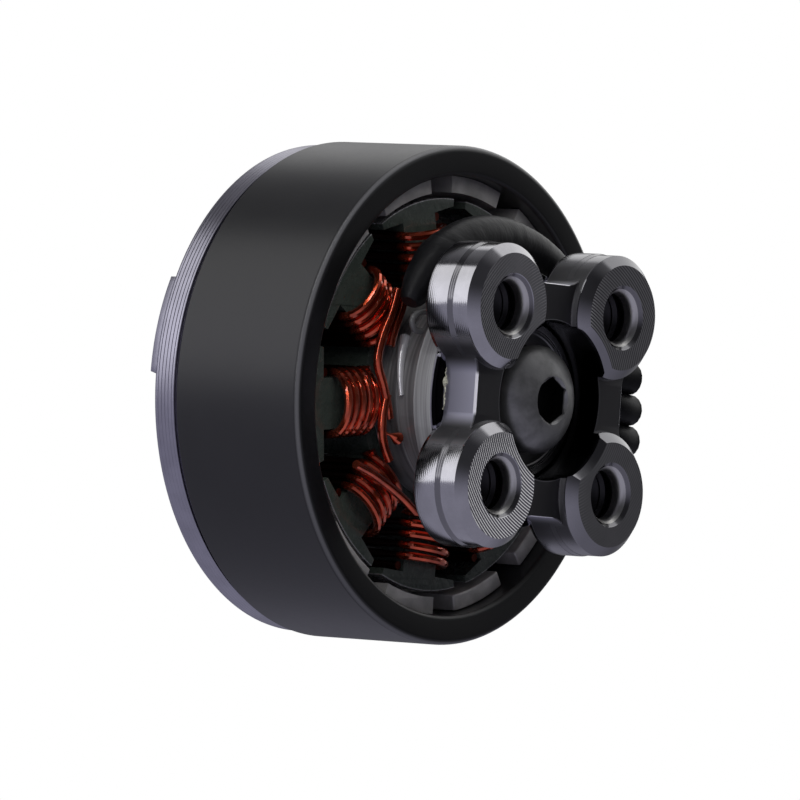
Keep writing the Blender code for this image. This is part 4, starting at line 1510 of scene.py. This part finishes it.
def cap_cutters(sizes):
    """Tools for the windows, the shaft's bore and the two tapped holes."""
    clear = 1.2 * MM
    tools = []
    for i in range(ARM_COUNT):
        outline = window_outline(sizes, FIRST_ARM + FULL_TURN * i / ARM_COUNT)
        window = plate(f"window_{i}", [outline], CAP_LOW.z - clear, CAP_HIGH.z + clear)
        tools.append(rounded(window, 0.8 * MM, 6, 50.0))
    bore_radius = 1.28 * MM
    below_hub = 14.0 * MM
    top = CAP_HIGH.z + clear
    bore = [(0.0, top), (bore_radius, top), (bore_radius, below_hub), (0.0, below_hub)]
    tools.append(turned("bore", bore, 64, ring=False))
    half_spacing = 2.5 * MM
    crest = 0.76 * MM
    root = 0.92 * MM
    pitch = 0.36 * MM
    depth = 2.2 * MM
    mouth = 0.95 * MM
    high = CAP_HIGH.z - (mouth - crest)
    thread = thread_profile(crest, root, CAP_HIGH.z - depth + 0.4 * MM, high, pitch)
    for side in (-1, 1):
        profile = [(0.0, top), (mouth, top), (mouth, CAP_HIGH.z)] + thread
        profile.append((0.0, CAP_HIGH.z - depth))
        hole = turned("prop_hole", profile, 40, ring=False)
        x, y = turn_point((side * half_spacing, 0.0), FIRST_ARM)
        hole.location = (x, y, 0.0)
        tools.append(hole)
    return gathered("cap_cutters", tools)


class MOTOR_OT_cap(bpy.types.Operator):
    """Dress the bell's cap with its rim, arms and windows"""

    bl_idname = "motor.cap"
    bl_label = "Bell cap"

    def execute(self, context):
        sizes = context.scene.motor_bell
        finishes = context.scene.motor_finishes
        cap = turned("turned_bell_cap", cap_profile(sizes), 192, ring=False)
        overlap = 0.375 * MM
        spider = plate("spider", [spider_outline(sizes)], CAP_DISC_TOP - overlap, CAP_HIGH.z)
        cap = combined(cap, rounded(spider, 0.15 * MM, 2, 50.0), "UNION")
        hub_top = 15.6 * MM
        hub_bottom = 14.7 * MM
        hub_radius = 3.3 * MM
        hub = [(0.0, hub_top), (hub_radius, hub_top), (hub_radius, hub_bottom), (0.0, hub_bottom)]
        cap = combined(cap, turned("hub", hub, 72, ring=False), "UNION")
        cap = combined(cap, cap_cutters(sizes), "DIFFERENCE")
        even_shading(cap)
        metal = turned_aluminium("cap_aluminium", finishes.cap_metal, 0.3, 0.16, 0.0025 * MM)
        dress(cap, metal, "rotor", ["bell_cap"])
        return {"FINISHED"}


def shaft_profile():
    """Section of the stepped shaft, hollow and threaded at its lower end."""
    bottom = SHAFT_LOW.z
    top = SHAFT_HIGH.z
    seat = CAP_HIGH.z
    shoulder = 14.67 * MM
    tip = 0.75 * MM
    round_over = 0.2 * MM
    hub_fit = 1.25 * MM
    body = 2.0 * MM
    crest = 1.5 * MM
    root = 1.62 * MM
    pitch = 0.5 * MM
    hole_depth = 6.5 * MM
    edge = 0.1 * MM
    proud = 0.02 * MM
    thread = thread_profile(crest, root, bottom + edge * 2, bottom + hole_depth - edge, pitch)
    profile = [(0.0, top)]
    profile += fillet((tip - round_over, top - round_over), round_over, 90.0, 0.0, 6)
    profile += [
        (tip, seat + proud),
        (hub_fit - 0.15 * MM, seat + proud),
        (hub_fit, seat - edge),
        (hub_fit, shoulder),
        (body, shoulder),
        (body, bottom + edge),
        (body - edge, bottom),
        (crest, bottom),
    ]
    profile += list(reversed(thread))
    profile.append((0.0, bottom + hole_depth))
    return profile


class MOTOR_OT_shaft(bpy.types.Operator):
    """Dress the shaft and the washers"""

    bl_idname = "motor.shaft"
    bl_label = "Shaft and washers"

    def execute(self, context):
        finishes = context.scene.motor_finishes
        steel = machined_steel("ground_steel", finishes.bare_steel, 0.24, 0.0006 * MM)
        shaft = even_shading(turned("ground_shaft", shaft_profile(), 72, ring=False))
        dress(shaft, steel, "rotor", ["shaft"])
        outer = 2.5 * MM
        edge = 0.04 * MM
        for node, inner in (("screw_washer", 1.53 * MM), ("shim_washer", 2.03 * MM)):
            low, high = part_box(node)
            profile = [(outer - edge, high.z), (outer, high.z - edge), (outer, low.z + edge)]
            profile += [(outer - edge, low.z), (inner, low.z), (inner, high.z)]
            ring = turned(f"{node}_fine", profile, 72)
            dress(ring, steel, "rotor", [node])
        return {"FINISHED"}


def screw_profile():
    """Section of the button-head screw, with a rounded rim and dome."""
    head = 2.75 * MM
    rim = 0.4 * MM
    flat = 1.24 * MM
    shank = 1.47 * MM
    thread_depth = 0.12 * MM
    pitch = 0.5 * MM
    edge = 0.05 * MM
    head_top = 2.14 * MM
    dome_height = head_top - rim - SCREW_LOW.z
    full = math.sqrt(1.0 - (flat / head) ** 2)
    dome = []
    steps = 14
    for i in range(steps + 1):
        radius = head - (head - flat) * (i / steps) ** 1.4
        rise = math.sqrt(max(1.0 - (radius / head) ** 2, 0.0))
        dome.append((radius, head_top - rim - dome_height * rise / full))
    thread = thread_profile(shank - thread_depth, shank, head_top + 0.4 * MM, SCREW_HIGH.z, pitch)
    return [(0.0, SCREW_HIGH.z)] + thread + [
        (shank, head_top + 0.2 * MM),
        (shank, head_top),
        (head - edge, head_top),
        (head, head_top - edge),
    ] + dome + [(0.0, SCREW_LOW.z)]


class MOTOR_OT_screw(bpy.types.Operator):
    """Dress the button-head screw and its hexagon socket"""

    bl_idname = "motor.screw"
    bl_label = "Retaining screw"

    def execute(self, context):
        finishes = context.scene.motor_finishes
        screw = turned("button_head_screw", screw_profile(), 96, ring=False)
        across_flats = 2.14 * MM
        depth = 0.9 * MM
        clear = 1.0 * MM
        chamfer = 0.12 * MM
        corner = across_flats / math.sqrt(3.0)
        low = SCREW_LOW.z - clear
        hexagon = arc((0.0, 0.0), corner, HALF_TURN / 6, HALF_TURN / 6 + FULL_TURN, 7)[:-1]
        socket = plate("hex_socket", [hexagon], low, SCREW_LOW.z + depth)
        screw = combined(screw, socket, "DIFFERENCE")
        floor = SCREW_LOW.z + chamfer
        mouth = [(0.0, low), (corner + clear, low), (corner - chamfer, floor), (0.0, floor)]
        screw = combined(screw, turned("socket_mouth", mouth, 48, ring=False), "DIFFERENCE")
        even_shading(screw)
        dress(screw, dark_screw_steel(finishes.screw), "rotor", ["retaining_screw"])
        return {"FINISHED"}


def bearing_sections(low, high):
    """Sections of a bearing's two rings and two shields, by the node's last words."""
    bore = 2.03 * MM
    outer = 4.0 * MM
    inner_shoulder = 2.6 * MM
    outer_shoulder = 3.4 * MM
    seat = 3.6 * MM
    seat_depth = 0.28 * MM
    middle = (low + high) / 2
    groove_half = 0.45 * MM
    pitch_radius = 3.0 * MM
    groove = 0.66 * MM
    edge = 0.12 * MM
    outer_ring = outside_edges(outer, low, high, edge) + [
        (seat, low),
        (seat, low + seat_depth),
        (outer_shoulder, low + seat_depth),
        (outer_shoulder, middle - groove_half),
        (pitch_radius + groove, middle),
        (outer_shoulder, middle + groove_half),
        (outer_shoulder, high - seat_depth),
        (seat, high - seat_depth),
        (seat, high),
    ]
    inner_ring = [
        (inner_shoulder, high),
        (inner_shoulder, middle + groove_half),
        (pitch_radius - groove, middle),
        (inner_shoulder, middle - groove_half),
        (inner_shoulder, low),
    ]
    inner_ring += fillet((bore + edge, low + edge), edge, -90.0, -180.0, 4)
    inner_ring += fillet((bore + edge, high - edge), edge, 180.0, 90.0, 4)
    sections = {"outer_ring": outer_ring, "inner_ring": inner_ring}
    shield_outer = 3.57 * MM
    shield_inner = 2.72 * MM
    thickness = 0.15 * MM
    set_in = 0.1 * MM
    dish = 0.05 * MM
    rim = shield_outer - 0.15 * MM
    slope = shield_outer - 0.22 * MM
    starts = {"lower_shield": low + set_in, "upper_shield": high - set_in - thickness}
    for name, start in starts.items():
        end = start + thickness
        step = dish if name == "lower_shield" else -dish
        dish_low = start + max(step, 0.0)
        dish_high = end + min(step, 0.0)
        shield = [(shield_outer, end), (shield_outer, start), (rim, start), (slope, dish_low)]
        shield += [(shield_inner, dish_low), (shield_inner, dish_high), (slope, dish_high), (rim, end)]
        sections[name] = shield
    return sections


class MOTOR_OT_bearings(bpy.types.Operator):
    """Dress both ball bearings"""

    bl_idname = "motor.bearings"
    bl_label = "Bearings"

    def execute(self, context):
        finishes = context.scene.motor_finishes
        steel = bpy.data.materials["ground_steel"]
        dull = shade(finishes.bare_steel, 0.35)[:3]
        shield_steel = machined_steel("shield_steel", dull, 0.35, 0.001 * MM)
        for prefix in ("lower", "upper"):
            low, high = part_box(f"{prefix}_bearing_outer_ring")
            for part, section in bearing_sections(low.z, high.z).items():
                node = f"{prefix}_bearing_{part}"
                piece = turned(f"{node}_fine", section, 72)
                body = "rotor" if part == "inner_ring" else "stator"
                plain = part.endswith("ring")
                dress(piece, steel if plain else shield_steel, body, [node])
            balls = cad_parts[f"{prefix}_bearing_balls"]
            for material_slot in balls.material_slots:
                material_slot.material = steel
        return {"FINISHED"}


class MOTOR_OT_glue(bpy.types.Operator):
    """Add the dried glue at the back edge of the left web, and the resin on the neck, with a pale resin
    line as a painted highlight
    """

    bl_idname = "motor.glue"
    bl_label = "Dried glue"

    def execute(self, context):
        finishes = context.scene.motor_finishes
        chance = random.Random(5)
        corner = Vector((-5.92 * MM, 0.0, 2.9 * MM))
        bead_radius = 0.05 * MM
        lump_place = 0.52
        lump_length = 0.07
        count = 34
        points = []
        widths = []
        for i in range(count):
            share = i / (count - 1)
            y = (-2.0 + 2.9 * share) * MM
            wobble = Vector((chance.uniform(-0.02, 0.02), 0.0, chance.uniform(-0.05, 0.03))) * MM
            points.append(corner + Vector((0.0, y, 0.0)) + wobble)
            lump = math.exp(-(((share - lump_place) / lump_length) ** 2))
            widths.append(0.35 + 0.5 * chance.random() + 2.6 * lump)
        bead = settled(tube("glue_bead", points, bead_radius, 3, widths))
        dress(bead, dried_glue(finishes.glue), "stator", [])
        height = 4.5
        hook = [(-5.6, -3.95), (-6.2, -3.95), (-6.75, -3.7), (-6.9, -3.35), (-6.65, -3.0), (-6.1, -2.95)]
        route = smooth_route([Vector((x, y, height)) * MM for x, y in hook], 5)
        resin_radius = 0.16 * MM
        resin = settled(tube("resin_bead", route, resin_radius, 5))
        dark = satin_black("resin", (0.10, 0.10, 0.10), 0.1, 0.0)
        dress(resin, dark, "stator", [])
        streak_radius = 0.22 * MM
        steps = 15
        on_neck = NECK_RADIUS + 0.01 * MM
        sweep = arc((0.0, 0.0), on_neck, math.radians(177.0), math.radians(210.0), steps + 1)
        line = [(x, y, (6.1 + 0.6 * i / steps) * MM) for i, (x, y) in enumerate(sweep)]
        swell = [0.6 + 0.8 * (i / steps) ** 1.5 for i in range(steps + 1)]
        streak = settled(tube("resin_line", line, streak_radius, 5, swell))
        # Painted highlight: the resin line is coloured pale to stand for a streak of light on the neck
        pale = satin_black("resin_painted_highlight", (0.8, 0.8, 0.82), 0.22, 0.5)
        dress(streak, pale, "stator", [])
        return {"FINISHED"}


# Directions of the photograph's view, in the row frame, and the origin's place in it
VIEW_RIGHT = Vector((0.625, -0.070, -0.778)).normalized()
VIEW_AHEAD = Vector((0.778, -0.0217, 0.628)).normalized()
ORIGIN_RIGHT = 8.19 * MM
ORIGIN_DOWN = 0.056 * MM
AIM_HEIGHT = 6.0 * MM
LAMP_DISTANCE = 0.6


def place_camera(settings):
    """Camera at the photograph's viewing angle."""
    data = bpy.data.cameras.new("photo_camera")
    data.lens = settings.lens
    data.sensor_width = 36.0
    data.clip_start = 0.01
    data.clip_end = 50.0
    camera = link("photo_camera", data)
    ahead = VIEW_AHEAD
    right = (VIEW_RIGHT - ahead * VIEW_RIGHT.dot(ahead)).normalized()
    up = right.cross(ahead)
    place = -(right * ORIGIN_RIGHT - up * ORIGIN_DOWN + ahead * settings.camera_distance)
    turn = Matrix((right, up, -ahead)).transposed()
    camera.matrix_world = Matrix.Translation(place) @ turn.to_4x4()
    bpy.context.scene.camera = camera


def softbox(name, direction, width, height, level):
    """Rectangular lamp that faces the motor from a direction, with its width level."""
    data = bpy.data.lights.new(name, "AREA")
    data.shape = "RECTANGLE"
    data.size = width
    data.size_y = height
    data.energy = level * HALF_TURN * width * height
    lamp = link(name, data)
    way = Vector(direction).normalized()
    level_way = way.cross(Vector((0.0, 0.0, 1.0))).normalized()
    turn = Matrix((level_way, way.cross(level_way), way)).transposed()
    centre = Vector((0.0, 0.0, AIM_HEIGHT))
    lamp.matrix_world = Matrix.Translation(centre + way * LAMP_DISTANCE) @ turn.to_4x4()
    return lamp


def studio_world():
    """White to the camera, and a dim room with a white screen above to everything else."""
    world = bpy.data.worlds.new("studio")
    world.use_nodes = True
    bpy.context.scene.world = world
    finish = Finish(world.node_tree)
    way = finish.add("ShaderNodeTexCoord", output=0)
    screen_side = finish.toward(way, (0.72, -0.62, 0.10))
    below = finish.toward(way, (-0.45, 0.85, 0.25)).rises(-0.35, 0.45)
    screen = screen_side.rises(0.77, 0.87)
    haze = screen_side.rises(0.35, 0.85)
    room = finish.blend(below, (0.045, 0.045, 0.05, 1.0), (0.33, 0.325, 0.40, 1.0))
    room = finish.blend(haze * 0.35, room, (0.55, 0.55, 0.57, 1.0))
    room = finish.blend(screen, room, (1.5, 1.5, 1.52, 1.0))
    camera_ray = finish.add("ShaderNodeLightPath", output=0)
    glossy_ray = finish.add("ShaderNodeLightPath", output=3)
    clear_ray = finish.add("ShaderNodeLightPath", output=6)
    seen = camera_ray + (glossy_ray + clear_ray) * screen
    white = finish.add("ShaderNodeBackground", None, {0: (1.0, 1.0, 1.0, 1.0), 1: 1.0})
    soft = finish.add("ShaderNodeBackground", None, {0: room, 1: 1.0})
    shader = finish.add("ShaderNodeMixShader", None, {0: seen, 1: soft, 2: white})
    finish.add("ShaderNodeOutputWorld", None, {0: shader})


def pale_floor(settings):
    """Pale floor under the bosses, which shows only from above."""
    shape = bmesh.new()
    bmesh.ops.create_circle(shape, cap_ends=True, radius=1.5, segments=64)
    floor = mesh_item("floor", shape, smooth=False)
    below_bosses = 0.02 * MM
    floor.location.z = -below_bosses
    material, finish, place = new_finish("floor_paper")
    grain = finish.noise(place, 0.4, 3.0)
    colour = settings.floor_colour
    colour = finish.blend(grain, shade(colour, 0.98), shade(colour, 1.02))
    paper = finish.add("ShaderNodeBsdfPrincipled", None, {"Base Color": colour, "Roughness": 0.9})
    clear = finish.add("ShaderNodeBsdfTransparent")
    seen = finish.add("ShaderNodeLightPath", output=0)
    back = finish.add("ShaderNodeNewGeometry", output=6)
    shader = finish.add("ShaderNodeMixShader", None, {0: seen * (1.0 - back), 1: clear, 2: paper})
    finish.add("ShaderNodeOutputMaterial", None, {0: shader})
    floor.data.materials.append(material)


class MOTOR_OT_stage(bpy.types.Operator):
    """Set the camera, the floor and the light"""

    bl_idname = "motor.stage"
    bl_label = "Stage"

    def execute(self, context):
        settings = context.scene.motor_stage
        context.scene.view_settings.view_transform = "Standard"
        place_camera(settings)
        studio_world()
        pale_floor(settings)
        softbox("key_softbox", (-0.635, -0.45, 0.63), 0.62, 0.34, settings.key_level)
        fill = softbox("fill_softbox", (-0.40, -0.70, -0.60), 0.5, 0.5, settings.fill_level)
        fill.visible_glossy = False
        softbox("side_strip", (-0.80, -0.58, -0.06), 0.9, 0.05, settings.side_level)
        return {"FINISHED"}


class MOTOR_PT_looks(bpy.types.Panel):
    """List of the motor's pieces"""

    bl_idname = "MOTOR_PT_looks"
    bl_label = "Drone motor"
    bl_space_type = "VIEW_3D"
    bl_region_type = "UI"
    bl_category = "Motor"

    def draw(self, context):
        column = self.layout.column()
        for operator in OPERATORS:
            column.operator(operator.bl_idname)
        for group in ("motor_base", "motor_windings", "motor_bell", "motor_finishes", "motor_stage"):
            box = self.layout.box()
            settings = getattr(context.scene, group)
            for name in settings.__annotations__:
                box.prop(settings, name)


GROUPS = {
    "motor_base": BaseSizes,
    "motor_windings": WindingSizes,
    "motor_bell": BellSizes,
    "motor_finishes": MotorFinishes,
    "motor_stage": StageSettings,
}
OPERATORS = (
    MOTOR_OT_base,
    MOTOR_OT_stator_core,
    MOTOR_OT_windings,
    MOTOR_OT_jumpers,
    MOTOR_OT_sleeve,
    MOTOR_OT_leads,
    MOTOR_OT_ring,
    MOTOR_OT_magnets,
    MOTOR_OT_cap,
    MOTOR_OT_shaft,
    MOTOR_OT_screw,
    MOTOR_OT_bearings,
    MOTOR_OT_glue,
    MOTOR_OT_stage,
)


def register():
    """Register the classes and hang the settings on the scene."""
    for name, group in GROUPS.items():
        bpy.utils.register_class(group)
        setattr(bpy.types.Scene, name, PointerProperty(type=group))
    for operator in OPERATORS:
        bpy.utils.register_class(operator)
    bpy.utils.register_class(MOTOR_PT_looks)


def unregister():
    """Take the classes and settings off again."""
    bpy.utils.unregister_class(MOTOR_PT_looks)
    for operator in reversed(OPERATORS):
        bpy.utils.unregister_class(operator)
    for name, group in GROUPS.items():
        delattr(bpy.types.Scene, name)
        bpy.utils.unregister_class(group)


def main():
    """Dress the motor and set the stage."""
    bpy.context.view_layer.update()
    register()
    bpy.ops.motor.base()
    bpy.ops.motor.stator_core()
    bpy.ops.motor.windings()
    bpy.ops.motor.jumpers()
    bpy.ops.motor.sleeve()
    bpy.ops.motor.leads()
    bpy.ops.motor.ring()
    bpy.ops.motor.magnets()
    bpy.ops.motor.cap()
    bpy.ops.motor.shaft()
    bpy.ops.motor.screw()
    bpy.ops.motor.bearings()
    bpy.ops.motor.glue()
    bpy.ops.motor.stage()


if __name__ == "__main__":
    main()
